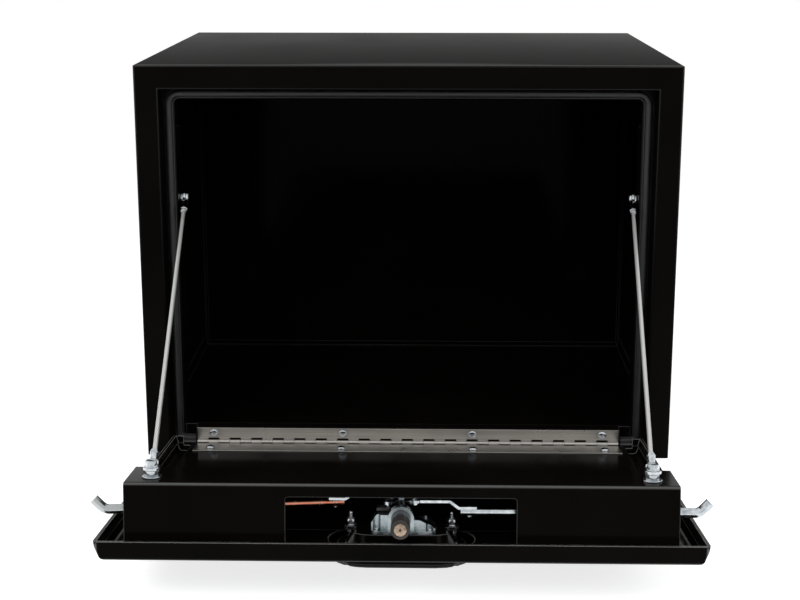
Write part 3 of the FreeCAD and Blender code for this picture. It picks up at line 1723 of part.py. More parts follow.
def build_case():
    """Everything fixed to the case."""
    keep("body_shell", [make_body_shell()])
    keep("floor_pan", [make_floor_pan()])
    keep("back_panel", [make_back_panel()])
    keep("door_seal", [make_door_seal()])
    keep("hinge_box_leaf", [make_hinge_box_leaf()])
    keep("hinge_pin", [make_hinge_pin()])
    keep("box_hinge_rivets", [make_box_rivet(x) for x in screw_positions])
    keep("cable_anchor_bolts", [make_anchor_bolt(side) for side in (-1, 1)])
    keep("cable_anchor_washers", [make_anchor_washer(side) for side in (-1, 1)])
    keep("cable_anchor_nuts", [make_anchor_nut(side) for side in (-1, 1)])


def build_door():
    """The door's sheets, its hinge leaf and the cable fixings."""
    keep_on_door("door_skin", [make_door_skin()])
    keep_on_door("door_inner_panel", [make_door_inner_panel()])
    keep_on_door("latch_channel", [make_latch_channel()])
    keep_on_door("hinge_door_leaf", [make_hinge_door_leaf()])
    keep_on_door("door_hinge_bolts", [make_door_hinge_bolt(x) for x in screw_positions])
    keep_on_door("door_hinge_nuts", [make_door_hinge_nut(x) for x in screw_positions])
    keep_on_door("cable_door_bolts", [make_cable_door_bolt(side) for side in (-1, 1)])
    keep_on_door("cable_door_washers", [ring for side in (-1, 1) for ring in make_cable_door_washers(side)])
    keep_on_door("cable_door_nuts", [nut for side in (-1, 1) for nut in make_cable_door_nuts(side)])


def build_dish():
    """The pan of the latch and its fixings."""
    stacks = [stud_stack(side * stud_x) for side in (-1, 1)]
    keep_on_door("handle_dish", [make_handle_dish()])
    keep_on_door("dish_gasket", [make_dish_gasket()])
    keep_on_door("dish_screws", [make_dish_screw(x, a) for x, a in dish_screw_places()])
    keep_on_door("dish_studs", [make_dish_stud(side * stud_x) for side in (-1, 1)])
    keep_on_door("dish_washers", [ring for rings, nut in stacks for ring in rings])
    keep_on_door("dish_nuts", [nut for rings, nut in stacks])
    keep_on_door("latch_housing", [make_latch_housing()])
    keep_on_door("housing_screws", [make_housing_screw(x, a) for x, a in housing_screw_places()])


def build_mechanism():
    """Handle, lever, lock, rods and bolts."""
    keep_on_door("t_handle", [make_t_handle()])
    keep_on_door("lever_plate", [make_lever_plate()])
    keep_on_door("spindle_nut", [make_spindle_nut()])
    keep_on_door("pin_clips", [make_pin_clip(degrees) for degrees in rod_pin_angles])
    keep_on_door("lock_cylinder", [make_lock_cylinder()])
    keep_on_door("lock_plug", [make_lock_plug()])
    for side, name in ((-1, "left"), (1, "right")):
        keep_on_door("rod_" + name, [make_rod(side)])
        keep_on_door("rod_link_" + name, [make_rod_link(side)])
        keep_on_door("link_rivet_" + name, [make_link_rivet(side)])
        keep_on_door("rod_guide_" + name, [make_rod_guide(side)])
    keep_on_door("centre_bolt_sleeve", [make_centre_bolt_sleeve()])
    keep_on_door("centre_bolt_core", [make_centre_bolt_core()])


def build_cables():
    """The two stay cables and their crimped ends."""
    for side, name in ((-1, "left"), (1, "right")):
        keep("cable_" + name, [make_cable(side)])
    keep("cable_upper_ferrules", [make_upper_ferrule(side) for side in (-1, 1)])
    keep("cable_lower_ferrules", [make_lower_ferrule(side) for side in (-1, 1)])


build_case()
build_door()
build_dish()
build_mechanism()
build_cables()

os.makedirs("parts", exist_ok=True)
for name, shape in parts.items():
    shape.exportStep("parts/" + name + ".step")
print(len(parts), "sub-parts")
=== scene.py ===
"""Under-body truck tool box with its drop-down door open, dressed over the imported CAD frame.

Sizes are in millimetres, in the case's axes or in the door's own axes (x, reach from the
hinge, level above it), and become metres when a mesh is made. The finishes, the lights and
the camera are in metres.
"""

import logging
import math
from collections.abc import Callable, Sequence
from dataclasses import dataclass
from enum import Enum
from functools import cache

import bmesh
import bpy
from mathutils import Matrix, Vector


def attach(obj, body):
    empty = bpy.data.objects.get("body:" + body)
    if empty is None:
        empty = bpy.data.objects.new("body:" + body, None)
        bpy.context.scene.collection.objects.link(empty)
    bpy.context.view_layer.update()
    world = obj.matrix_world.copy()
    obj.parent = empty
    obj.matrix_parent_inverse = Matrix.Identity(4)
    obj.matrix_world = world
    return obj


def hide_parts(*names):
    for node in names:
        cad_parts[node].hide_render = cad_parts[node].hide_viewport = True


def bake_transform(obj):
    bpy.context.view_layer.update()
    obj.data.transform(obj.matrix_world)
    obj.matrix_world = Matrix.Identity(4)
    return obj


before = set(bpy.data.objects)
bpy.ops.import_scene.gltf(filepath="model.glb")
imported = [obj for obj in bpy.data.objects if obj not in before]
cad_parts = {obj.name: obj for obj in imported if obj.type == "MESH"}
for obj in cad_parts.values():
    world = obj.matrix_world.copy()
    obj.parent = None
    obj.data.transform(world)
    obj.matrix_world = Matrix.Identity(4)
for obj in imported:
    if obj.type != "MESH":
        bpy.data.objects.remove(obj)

log = logging.getLogger("tool_box")

MM = 0.001
FULL_TURN = 2 * math.pi
QUARTER = math.pi / 2
SIXTH = math.radians(60)
SIDES = (-1, 1)
SIDEWAYS = Vector((1, 0, 0))
UP = Vector((0, 0, 1))
FORWARD = Vector((0, -1, 0))
WHITE = (1, 1, 1, 1)
WELD = 1e-7
SEAM_SHARE = 0.25
CORNER_STEPS = 3
LAY_MAP = "lay"

Row = tuple[float, float]
Triple = tuple[float, float, float]
Station = tuple[Vector, Vector, Vector]
Output = bpy.types.NodeSocket


class Body(str, Enum):
    """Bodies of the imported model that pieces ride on."""

    CASE = "root"
    DOOR = "door"


class Slot(str, Enum):
    """Material slots of the record."""

    COAT = "black_powder_coat"
    RUBBER = "seal_rubber"
    STAINLESS = "stainless"
    ZINC = "zinc_plate"
    CABLE = "cable_coating"


class Socket(str, Enum):
    """Principled sockets that the finishes set or drive."""

    COLOUR = "Base Color"
    METALLIC = "Metallic"
    ROUGHNESS = "Roughness"
    SPECULAR = "Specular IOR Level"
    COAT = "Coat Weight"
    COAT_ROUGHNESS = "Coat Roughness"
    GLOW_COLOUR = "Emission Color"
    GLOW = "Emission Strength"
    NORMAL = "Normal"


# Mesh building


def side_name(side: int) -> str:
    """Word for the left (-1) or the right (1)."""
    return "left" if side < 0 else "right"


def hex_radius(angle: float, across_flats: float) -> float:
    """Distance from the middle of a hexagon to its outline, with a corner at angle zero."""
    return across_flats / 2 / math.cos(angle % SIXTH - SIXTH / 2)


def dome_rows(start: float, radius: float, height: float, steps: int = 7) -> list[Row]:
    """Profile rows (height, radius) of a round head, from its rim to its crown."""
    angles = [QUARTER * step / steps for step in range(steps + 1)]
    return [(start + height * math.sin(angle), radius * math.cos(angle)) for angle in angles]


def ring_rows(base: float, top: float, bore: float, radius: float, edge: float) -> list[Row]:
    """Closed profile of a washer, nut or lug with broken edges.

    Args:
        base: Lower height.
        top: Upper height.
        bore: Radius of the hole.
        radius: Outer radius.
        edge: Width of the broken edges.

    Returns:
        Rows of (height, radius) round the section.
    """
    return [
        (base, radius - edge),
        (base + edge, radius),
        (top - edge, radius),
        (top, radius - edge),
        (top, bore + edge / 2),
        (top - edge / 2, bore),
        (base + edge / 2, bore),
        (base, bore + edge / 2),
    ]


@dataclass(frozen=True)
class Thread:
    """A screw thread, drawn as rings."""

    pitch: float
    depth: float

    def rows(self, start: float, end: float, radius: float) -> list[Row]:
        """Profile rows of a threaded stretch.

        Args:
            start: Height of the first thread.
            end: Height at which the thread stops.
            radius: Outer radius.

        Returns:
            Rows of (height, radius) from start to end.
        """
        rows: list[Row] = []
        for turn in range(int((end - start) / self.pitch)):
            low = start + turn * self.pitch
            rows += [(low, radius - self.depth), (low + self.pitch / 2, radius)]
        return rows + [(end, radius - self.depth)]


def aimed(start: Vector, direction: Vector) -> Matrix:
    """Placement at a point, in millimetres, whose local z axis runs along a direction."""
    turn = direction.normalized().to_track_quat("Z", "Y").to_matrix().to_4x4()
    return Matrix.Translation(start) @ turn


class Shape:
    """Corners and faces in millimetres that become one mesh piece."""

    def __init__(self) -> None:
        """Start empty."""
        self.corners: list[Vector] = []
        self.faces: list[tuple[int, ...]] = []
        self.uvs: list[Row] = []

    def rings(
        self, rings: Sequence[Sequence[Vector]], closed: bool = False, caps: bool = True
    ) -> None:
        """Skin a row of rings of as many corners each.

        Args:
            rings: The rings, in order.
            closed: Whether the last ring joins the first.
            caps: Whether open ends get a face.
        """
        base = len(self.corners)
        count = len(rings[0])
        for ring in rings:
            self.corners.extend(ring)
        pairs = [(index, index + 1) for index in range(len(rings) - 1)]
        if closed:
            pairs.append((len(rings) - 1, 0))
        for low, high in pairs:
            for step in range(count):
                after = (step + 1) % count
                quad = (low, step), (low, after), (high, after), (high, step)
                self.faces.append(tuple(base + row * count + corner for row, corner in quad))
        if caps and not closed:
            last = base + (len(rings) - 1) * count
            self.faces.append(tuple(range(base + count - 1, base - 1, -1)))
            self.faces.append(tuple(range(last, last + count)))

    def turned(
        self,
        profile: Sequence[Row],
        place: Matrix,
        closed: bool = False,
        flats: float = 0.0,
        segments: int = 48,
    ) -> None:
        """Turn a profile round the local z axis.

        Args:
            profile: Rows of (height, radius).
            place: Placement of the axis.
            closed: Whether the profile is a loop, as on a washer.
            flats: Size across hexagon flats that cut the piece, or zero.
            segments: Corners in a ring.
        """
        rings = []
        for height, radius in profile:
            ring = []
            for step in range(segments):
                angle = FULL_TURN * step / segments
                reach = min(radius, hex_radius(angle, flats)) if flats else radius
                corner = Vector((reach * math.cos(angle), reach * math.sin(angle), height))
                ring.append(place @ corner)
            rings.append(ring)
        self.rings(rings, closed, caps=False)

    def swept(self, section: Sequence[Row], stations: Sequence[Station]) -> None:
        """Carry a closed section of (u, v) points along centres with their u and v directions."""
        self.rings([[centre + u * x + v * y for x, y in section] for centre, u, v in stations])

    def lay_out(self, work: bmesh.types.BMesh) -> None:
        """Write the corners' UV places, with the faces at the seam kept whole.

        Args:
            work: Mesh that gets them.
        """
        layer = work.loops.layers.uv.new(LAY_MAP)
        for face in work.faces:
            values = [self.uvs[loop.vert.index] for loop in face.loops]
            wraps = max(u for u, _ in values) > 1 - SEAM_SHARE
            for loop, (u, v) in zip(face.loops, values):
                loop[layer].uv = (u + 1 if wraps and u < SEAM_SHARE else u, v)

    def made(self, name: str, sharp: float = 35.0) -> bpy.types.Object:
        """Turn the shape into an object in the scene.

        Args:
            name: Name of the piece.
            sharp: Angle in degrees above which an edge stays sharp.

        Returns:
            The new object.
        """
        mesh = bpy.data.meshes.new(name)
        mesh.from_pydata([corner * MM for corner in self.corners], [], self.faces)
        work = bmesh.new()
        work.from_mesh(mesh)
        if self.uvs:
            self.lay_out(work)
        bmesh.ops.remove_doubles(work, verts=work.verts, dist=WELD)
        bmesh.ops.recalc_face_normals(work, faces=work.faces)
        work.to_mesh(mesh)
        work.free()
        mesh.shade_smooth()
        mesh.set_sharp_from_angle(angle=math.radians(sharp))
        return linked(name, mesh)


def linked(name: str, data: bpy.types.ID) -> bpy.types.Object:
    """Put data into the scene as an object.

    Args:
        name: Name of the object.
        data: Its mesh, lamp or camera.

    Returns:
        The object.
    """
    holder = bpy.data.objects.new(name, data)
    bpy.context.scene.collection.objects.link(holder)
    return holder


def rounded_bar(width: float, height: float, corner: float) -> list[Row]:
    """Outline of a rounded rectangle about its middle.

    Args:
        width: Size along u.
        height: Size along v.
        corner: Corner radius.

    Returns:
        The outline's points.
    """
    points: list[Row] = []
    for quarter, (x, y) in enumerate(((1, 1), (-1, 1), (-1, -1), (1, -1))):
        for step in range(CORNER_STEPS + 1):
            angle = QUARTER * (quarter + step / CORNER_STEPS)
            u = x * (width / 2 - corner) + corner * math.cos(angle)
            v = y * (height / 2 - corner) + corner * math.sin(angle)
            points.append((u, v))
    return points


def smooth_line(points: Sequence[Vector], steps: int) -> list[Vector]:
    """Points read from the NURBS line of a route.

    Args:
        points: The route's points, in millimetres.
        steps: Steps that each span is divided in.

    Returns:
        Points along the smooth line, in millimetres.
    """
    curve = bpy.data.curves.new("route", "CURVE")
    curve.dimensions = "3D"
    spline = curve.splines.new("NURBS")
    spline.points.add(len(points) - 1)
    for knot, point in zip(spline.points, points):
        knot.co = (*point, 1.0)
    spline.order_u = 3
    spline.use_endpoint_u = True
    spline.resolution_u = steps
    holder = bpy.data.objects.new("route", curve)
    mesh = bpy.data.meshes.new_from_object(holder)
    line = [vertex.co.copy() for vertex in mesh.vertices]
    bpy.data.objects.remove(holder)
    bpy.data.meshes.remove(mesh)
    bpy.data.curves.remove(curve)
    return line


# Finishes


class Shader:
    """A Principled material put together node by node."""

    noise_range: Row = (0.3, 0.7)
    unit: Row = (0.0, 1.0)
    edge_samples: int = 6
    relief_samples: int = 4

    def __init__(self, name: str, colour: Triple, metallic: float, roughness: float) -> None:
        """Make the material.

        Args:
            name: Name of the material.
            colour: Base colour.
            metallic: Metallic share.
            roughness: Roughness.
        """
        self.material = bpy.data.materials.new(name)
        self.material.use_nodes = True
        self.tree = self.material.node_tree
        self.main = next(node for node in self.tree.nodes if node.type == "BSDF_PRINCIPLED")
        self.drive(Socket.COLOUR, (*colour, 1))
        self.drive(Socket.METALLIC, metallic)
        self.drive(Socket.ROUGHNESS, roughness)

    def node(
        self, kind: str, inputs: dict[str | int, object] | None = None, **settings: object
    ) -> bpy.types.Node:
        """Add a node.

        Args:
            kind: Type of the node.
            inputs: Socket values, or output sockets to link from.
            **settings: Attributes of the node.

        Returns:
            The node.
        """
        made = self.tree.nodes.new(kind)
        for key, value in settings.items():
            setattr(made, key, value)
        for key, value in (inputs or {}).items():
            self.feed(made.inputs[key], value)
        return made

    def feed(self, socket: bpy.types.NodeSocket, value: object) -> None:
        """Link an output to a socket, or set the socket.

        Args:
            socket: Socket to fill.
            value: Output socket or plain value.
        """
        if isinstance(value, bpy.types.NodeSocket):
            self.tree.links.new(value, socket)
        else:
            socket.default_value = value

    def drive(self, socket: Socket, value: object) -> None:
        """Link a value to one of the shader's main sockets, or set it there."""
        self.feed(self.main.inputs[socket], value)

    def place(self, scale: Triple = (1, 1, 1), shift: Triple = (0, 0, 0)) -> Output:
        """Object coordinates, stretched and then shifted.

        Args:
            scale: Stretch along each axis.
            shift: Shift along each axis.

        Returns:
            The place's socket.
        """
        source = self.node("ShaderNodeTexCoord").outputs["Object"]
        inputs = {"Vector": source, "Location": shift, "Scale": scale}
        return self.node("ShaderNodeMapping", inputs).outputs[0]

    def noise(self, where: Output, scale: float, detail: float = 3.0) -> Output:
        """Noise value at a place, with its scale in waves to the metre."""
        inputs = {"Vector": where, "Scale": scale, "Detail": detail}
        return self.node("ShaderNodeTexNoise", inputs).outputs[0]

    def remap(
        self, value: Output, source: Row, target: Row = unit, **settings: object
    ) -> Output:
        """Value of one range carried to another and held at its ends."""
        inputs = dict(enumerate((value, *source, *target)))
        return self.node("ShaderNodeMapRange", inputs, **settings).outputs[0]

    def span(self, value: Output, target: Row = unit) -> Output:
        """Noise value spread over a range."""
        return self.remap(value, self.noise_range, target)

    def maths(self, operation: str, *values: object) -> Output:
        """Result of an operation on plain values or output sockets."""
        return self.node("ShaderNodeMath", dict(enumerate(values)), operation=operation).outputs[0]

    def vector_maths(self, operation: str, *values: Output) -> Output:
        """Number that an operation on vectors gives."""
        inputs = dict(enumerate(values))
        return self.node("ShaderNodeVectorMath", inputs, operation=operation).outputs["Value"]

    def mixed(self, share: Output, low: object, high: object) -> Output:
        """Mix of two colours.

        Args:
            share: Share of the second colour.
            low: First colour, or its socket.
            high: Second colour, or its socket.

        Returns:
            The colour's socket.
        """
        made = self.node("ShaderNodeMix", data_type="RGBA")
        names = ("Factor_Float", "A_Color", "B_Color")
        sockets = {socket.identifier: socket for socket in made.inputs}
        for name, value in zip(names, (share, low, high)):
            self.feed(sockets[name], (*value, 1) if isinstance(value, tuple) else value)
        return next(socket for socket in made.outputs if socket.identifier == "Result_Color")

    def edge_share(self, radius: float, turns: Row) -> Output:
        """How near a folded or cut edge a place lies.

        Args:
            radius: Reach of the edge.
            turns: Turn of the surface at which the share leaves zero, and is one.

        Returns:
            The share's socket.
        """
        soft = self.node("ShaderNodeBevel", {"Radius": radius}, samples=self.edge_samples)
        flat = self.node("ShaderNodeNewGeometry").outputs["True Normal"]
        even = self.vector_maths("DOT_PRODUCT", soft.outputs[0], flat)
        return self.remap(self.maths("SUBTRACT", 1.0, even), turns)

    def relief(self, height: Output, depth: float, strength: float, edge: float = 0.0) -> None:
        """Drive the normal by a height, over softened edges.

        Args:
            height: Height value.
            depth: Depth that a height of one stands for.
            strength: Strength of the relief.
            edge: Radius of the softened edges, or zero.
        """
        inputs = {"Height": height, "Distance": depth, "Strength": strength}
        bump = self.node("ShaderNodeBump", inputs)
        if edge:
            soft = self.node("ShaderNodeBevel", {"Radius": edge}, samples=self.relief_samples)
            self.feed(bump.inputs["Normal"], soft.outputs[0])
        self.drive(Socket.NORMAL, bump.outputs[0])


@dataclass(frozen=True)
class PowderCoat:
    """Glossy near-black powder coat with a faint orange peel and painted highlights on its edges.
    """

    name: str = "gloss_black_powder_coat"
    colour: Triple = (0.0014, 0.0011, 0.0009)
    flow_colour: Triple = (0.0026, 0.0021, 0.0018)
    flow_scale: float = 9.0
    edge_highlight_colour: Triple = (0.04, 0.04, 0.039)
    edge: float = 0.0012
    edge_highlight_turns: Row = (0.003, 0.09)
    roughness: Row = (0.10, 0.17)
    gloss: Row = (0.018, 0.05)
    gloss_rise: Row = (0.45, 0.62)
    gloss_fall: Row = (0.64, 0.87)
    gloss_left: float = 0.004
    peel_scale: float = 420.0
    peel_detail: float = 2.0
    peel_depth: float = 0.00003
    peel_strength: float = 0.35
    highlight_bend_place: Triple | None = None
    bend_highlight_reach: Row = (0.0012, 0.0026)

    def build(self) -> bpy.types.Material:
        """Make the material.

        Returns:
            The material.
        """
        shader = Shader(self.name, self.colour, 0.0, self.roughness[0])
        slant = shader.node("ShaderNodeLayerWeight", {"Blend": 0.5}).outputs["Facing"]
        rise = shader.remap(slant, self.gloss_rise, self.gloss)
        fall = shader.remap(slant, self.gloss_fall, (1.0, self.gloss_left))
        shader.drive(Socket.SPECULAR, shader.maths("MULTIPLY", rise, fall))
        where = shader.place()
        flow = shader.noise(where, self.flow_scale)
        coat = shader.mixed(shader.span(flow), self.colour, self.flow_colour)
        # Painted highlight: edges are mixed toward a paler colour, standing in for the light they
        # would catch.
        coat = shader.mixed(shader.edge_share(self.edge, self.edge_highlight_turns), coat, self.edge_highlight_colour)
        if self.highlight_bend_place:
            # Painted highlight: a pale band along the bend, where a lamp's reflection would lie.
            coat = shader.mixed(self.bend_highlight_share(shader), coat, self.edge_highlight_colour)
        shader.drive(Socket.COLOUR, coat)
        shader.drive(Socket.ROUGHNESS, shader.span(flow, self.roughness))
        peel = shader.noise(where, self.peel_scale, self.peel_detail)
        shader.relief(peel, self.peel_depth, self.peel_strength, self.edge)
        return shader.material

    def bend_highlight_share(self, shader: Shader) -> Output:
        """How near the line along x through the bend's place a point lies; this masks the painted
        highlight along the bend.

        Args:
            shader: Shader that gets the nodes.

        Returns:
            The share's socket.
        """
        _, y, z = self.highlight_bend_place
        across = shader.place((0, 1, 1), (0, -y, -z))
        return shader.remap(shader.vector_maths("LENGTH", across), self.bend_highlight_reach, (1.0, 0.0))


@dataclass(frozen=True)
class BrushedSteel:
    """Stainless sheet brushed along x."""

    name: str = "brushed_stainless"
    colour: Triple = (0.37, 0.355, 0.335)
    bright: Triple = (0.56, 0.54, 0.51)
    roughness: Row = (0.24, 0.38)
    grain: Triple = (6.0, 1500.0, 1500.0)
    grain_detail: float = 4.0
    cloud_scale: float = 25.0
    depth: float = 0.00002
    strength: float = 0.5
    edge: float = 0.0003

    def build(self) -> bpy.types.Material:
        """Make the material.

        Returns:
            The material.
        """
        shader = Shader(self.name, self.colour, 1.0, self.roughness[0])
        streaks = shader.noise(shader.place(self.grain), 1.0, self.grain_detail)
        cloud = shader.noise(shader.place(), self.cloud_scale)
        shader.drive(Socket.COLOUR, shader.mixed(shader.span(streaks), self.colour, self.bright))
        shader.drive(Socket.ROUGHNESS, shader.span(cloud, self.roughness))
        shader.relief(streaks, self.depth, self.strength, self.edge)
        return shader.material


@dataclass(frozen=True)
class Plating:
    """Bright plated or turned metal with a soft mottle, and another tint at its left end."""

    name: str
    colour: Triple
    tint: Triple
    roughness: Row = (0.14, 0.3)
    mottle: float = 160.0
    grain: float = 1400.0
    depth: float = 0.00002
    strength: float = 0.5
    edge: float = 0.0003
    end_tint: Triple | None = None
    end_reach: Row = (-0.250, -0.235)

    def build(self) -> bpy.types.Material:
        """Make the material.

        Returns:
            The material.
        """
        shader = Shader(self.name, self.colour, 1.0, self.roughness[0])
        where = shader.place()
        cloud = shader.noise(where, self.mottle)
        metal = shader.mixed(shader.span(cloud), self.colour, self.tint)
        if self.end_tint:
            along = shader.node("ShaderNodeSeparateXYZ", {0: where}).outputs["X"]
            share = shader.remap(along, self.end_reach, (1.0, 0.0))
            metal = shader.mixed(share, metal, self.end_tint)
        shader.drive(Socket.COLOUR, metal)
        shader.drive(Socket.ROUGHNESS, shader.span(cloud, self.roughness))
        shader.relief(shader.noise(where, self.grain), self.depth, self.strength, self.edge)
        return shader.material


@dataclass(frozen=True)
class MattBlack:
    """Black rubber, nylon or oxide with a fine grain."""

    name: str
    colour: Triple
    worn: Triple
    roughness: Row = (0.4, 0.6)
    metallic: float = 0.0
    cloud_scale: float = 70.0
    grain: float = 900.0
    depth: float = 0.00005
    strength: float = 0.5
    edge: float = 0.0004

    def build(self) -> bpy.types.Material:
        """Make the material.

        Returns:
            The material.
        """
        shader = Shader(self.name, self.colour, self.metallic, self.roughness[0])
        where = shader.place()
        cloud = shader.noise(where, self.cloud_scale)
        shader.drive(Socket.COLOUR, shader.mixed(shader.span(cloud), self.colour, self.worn))
        shader.drive(Socket.ROUGHNESS, shader.span(cloud, self.roughness))
        shader.relief(shader.noise(where, self.grain), self.depth, self.strength, self.edge)
        return shader.material


@dataclass(frozen=True)
class CableCoat:
    """Clear vinyl over wire strands, whose lay shows as a slanting pattern."""

    name: str = "clear_coated_cable"
    wire: Triple = (0.50, 0.50, 0.485)
    groove: Triple = (0.22, 0.22, 0.215)
    metallic: float = 0.35
    roughness: float = 0.3
    vinyl: float = 0.6
    vinyl_roughness: float = 0.12
    strands: int = 6
    groove_wave: Row = (-1.0, 0.6)
    grain: float = 900.0
    depth: float = 0.00002
    strength: float = 0.3

    def build(self) -> bpy.types.Material:
        """Make the material.

        Returns:
            The material.
        """
        shader = Shader(self.name, self.wire, self.metallic, self.roughness)
        shader.drive(Socket.COAT, self.vinyl)
        shader.drive(Socket.COAT_ROUGHNESS, self.vinyl_roughness)
        places = shader.node("ShaderNodeUVMap", uv_map=LAY_MAP).outputs[0]
        lay = shader.node("ShaderNodeSeparateXYZ", {0: places}).outputs
        slant = shader.maths("SUBTRACT", lay["X"], lay["Y"])
        wave = shader.maths("COSINE", shader.maths("MULTIPLY", slant, FULL_TURN * self.strands))
        share = shader.remap(wave, self.groove_wave)
        shader.drive(Socket.COLOUR, shader.mixed(share, self.groove, self.wire))
        shader.relief(shader.noise(shader.place(), self.grain), self.depth, self.strength)
        return shader.material


Recipe = PowderCoat | BrushedSteel | Plating | MattBlack | CableCoat


@cache
def made_once(recipe: Recipe) -> bpy.types.Material:
    """Material of a finish, made when it is first asked for."""
    return recipe.build()


class Finish(Enum):
    """The finishes of the tool box."""

    COAT = PowderCoat()
    # The door's and the dish's coats get brighter painted highlights along their rims and edges.
    DOOR_COAT = PowderCoat("door_powder_coat", edge_highlight_colour=(0.17, 0.17, 0.166))
    DISH_COAT = PowderCoat("dish_powder_coat", edge_highlight_colour=(0.085, 0.085, 0.083))
    STAINLESS = BrushedSteel()
    CABLE = CableCoat()
    ZINC = Plating("bright_zinc", (0.34, 0.38, 0.41), (0.72, 0.75, 0.77), (0.08, 0.28))
    WARM_ZINC = Plating(
        "warm_zinc", (0.60, 0.17, 0.10), (0.62, 0.30, 0.21), end_tint=(0.40, 0.42, 0.42)
    )
    CASTING = Plating(
        "cast_zinc",
        (0.20, 0.25, 0.27),
        (0.50, 0.55, 0.57),
        roughness=(0.2, 0.4),
        mottle=110.0,
        grain=700.0,
        depth=0.0001,
    )
    CHROME = Plating("satin_chrome", (0.52, 0.53, 0.55), (0.62, 0.62, 0.64))
    BRASS = Plating(
        "turned_brass", (0.21, 0.155, 0.115), (0.40, 0.31, 0.24), (0.2, 0.34), mottle=420.0
    )
    OXIDE = MattBlack(
        "black_oxide",
        (0.022, 0.021, 0.020),
        (0.055, 0.050, 0.046),
        roughness=(0.25, 0.4),
        metallic=0.8,
    )
    RUBBER = MattBlack("seal_rubber_black", (0.006, 0.006, 0.006), (0.013, 0.013, 0.014))
    NYLON = MattBlack("black_nylon", (0.016, 0.016, 0.016), (0.028, 0.028, 0.028))

    @property
    def material(self) -> bpy.types.Material:
        """The finish's material."""
        return made_once(self.value)


class EdgeSmoother:
    """Geometry nodes that shade the CAD's turned pieces smooth and keep real edges sharp."""

    def __init__(self, sharp: float = 50.0, weld: float = 1e-6) -> None:
        """Build the node group.

        Args:
            sharp: Angle in degrees above which an edge stays sharp.
            weld: Distance in metres at which corners are joined.
        """
        self.group = bpy.data.node_groups.new("smooth_by_angle", "GeometryNodeTree")
        for way in ("INPUT", "OUTPUT"):
            self.group.interface.new_socket(
                "Geometry", in_out=way, socket_type="NodeSocketGeometry"
            )
        nodes = self.group.nodes
        start = nodes.new("NodeGroupInput")
        merge = nodes.new("GeometryNodeMergeByDistance")
        merge.inputs["Distance"].default_value = weld
        drop = nodes.new("GeometryNodeRemoveAttribute")
        drop.inputs["Name"].default_value = "custom_normal"
        smooth = nodes.new("GeometryNodeSetShadeSmooth")
        edges = nodes.new("GeometryNodeSetShadeSmooth")
        edges.domain = "EDGE"
        edges.inputs["Shade Smooth"].default_value = False
        angle = nodes.new("GeometryNodeInputMeshEdgeAngle")
        test = nodes.new("FunctionNodeCompare")
        test.operation = "GREATER_THAN"
        test.inputs[1].default_value = math.radians(sharp)
        end = nodes.new("NodeGroupOutput")
        link = self.group.links.new
        link(angle.outputs[0], test.inputs[0])
        link(test.outputs[0], edges.inputs["Selection"])
        chain = (start, merge, drop, smooth, edges, end)
        for before, after in zip(chain, chain[1:]):
            link(before.outputs[0], after.inputs[0])

    def dress(self, finish: Finish, *nodes: str) -> None:
        """Give CAD nodes a finish and smooth shading."""
        for node in nodes:
            self.shade(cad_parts[node], finish.material)

    def shade(self, piece: bpy.types.Object, material: bpy.types.Material) -> None:
        """Give a piece its material and smooth shading.

        Args:
            piece: The piece.
            material: Its material.
        """
        piece.data.materials.clear()
        piece.data.materials.append(material)
        modifier = piece.modifiers.new("smooth_shading", "NODES")
        modifier.node_group = self.group
        log.info("%s keeps its CAD shape in %s", piece.name, material.name)


def placed(
    piece: bpy.types.Object, finish: Finish, body: Body | None, slot: Slot, *nodes: str
) -> bpy.types.Object:
    """Finish a new piece, tie it to its body and let it stand for CAD nodes.

    Args:
        piece: The piece.
        finish: Its finish.
        body: Body that it rides on, or None for a piece stretched between two.
        slot: Material slot of the record; not used.
        *nodes: CAD nodes that it replaces.

    Returns:
        The same piece.
    """
    piece.data.materials.append(finish.material)
    if body:
        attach(piece, body.value)
    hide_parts(*nodes)
    log.info("piece %s with %d faces", piece.name, len(piece.data.polygons))
    return piece


# Sub-assemblies


@dataclass(frozen=True)
class CaseAxes:
    """Places on the case that other pieces take theirs from."""

    front: float = -228.6
    opening_half: float = 277.0
    opening_top: float = 429.4
    seat_depth: float = 25.0
    seat_edge_half: float = 263.3
    sheet: float = 1.9
    sill_face: float = -214.1


@dataclass(frozen=True)
class DoorAxes:
    """The open door's own axes and the levels on it."""

    hinge_y: float = -216.6
    hinge_z: float = 12.5
    open_angle: float = 7.3
    panel_level: float = -2.5
    skin_level: float = -12.0
    sheet: float = 1.5
    channel_top: float = 57.5
    channel_front: float = 400.0
    channel_half: float = 250.0
    latch_reach: float = 364.0

    @property
    def matrix(self) -> Matrix:
        """Placement of the door's axes in the case's axes."""
        turn = Matrix.Rotation(math.radians(-self.open_angle), 4, "X")
        return Matrix.Translation((0, self.hinge_y, self.hinge_z)) @ turn

    @property
    def normal(self) -> Vector:
        """Direction square to the open door, upwards."""
        return self.matrix.to_3x3() @ UP

    def stand(self, x: float, reach: float, level: float = 0.0) -> Matrix:
        """Placement square to the door at a point of it."""
        return self.matrix @ Matrix.Translation((x, -reach, level))

    def point(self, x: float, reach: float, level: float) -> Vector:
        """A point of the door, in the case's axes."""
        return self.matrix @ Vector((x, -reach, level))


@dataclass
class Case:
    """Folded steel case: its sheets keep their CAD shapes."""

    sheets: tuple[str, ...] = ("body_shell", "floor_pan", "back_panel")

    def build(self, smoother: EdgeSmoother) -> None:
        """Dress the sheets, with the smooth shading for CAD nodes."""
        smoother.dress(Finish.COAT, *self.sheets)


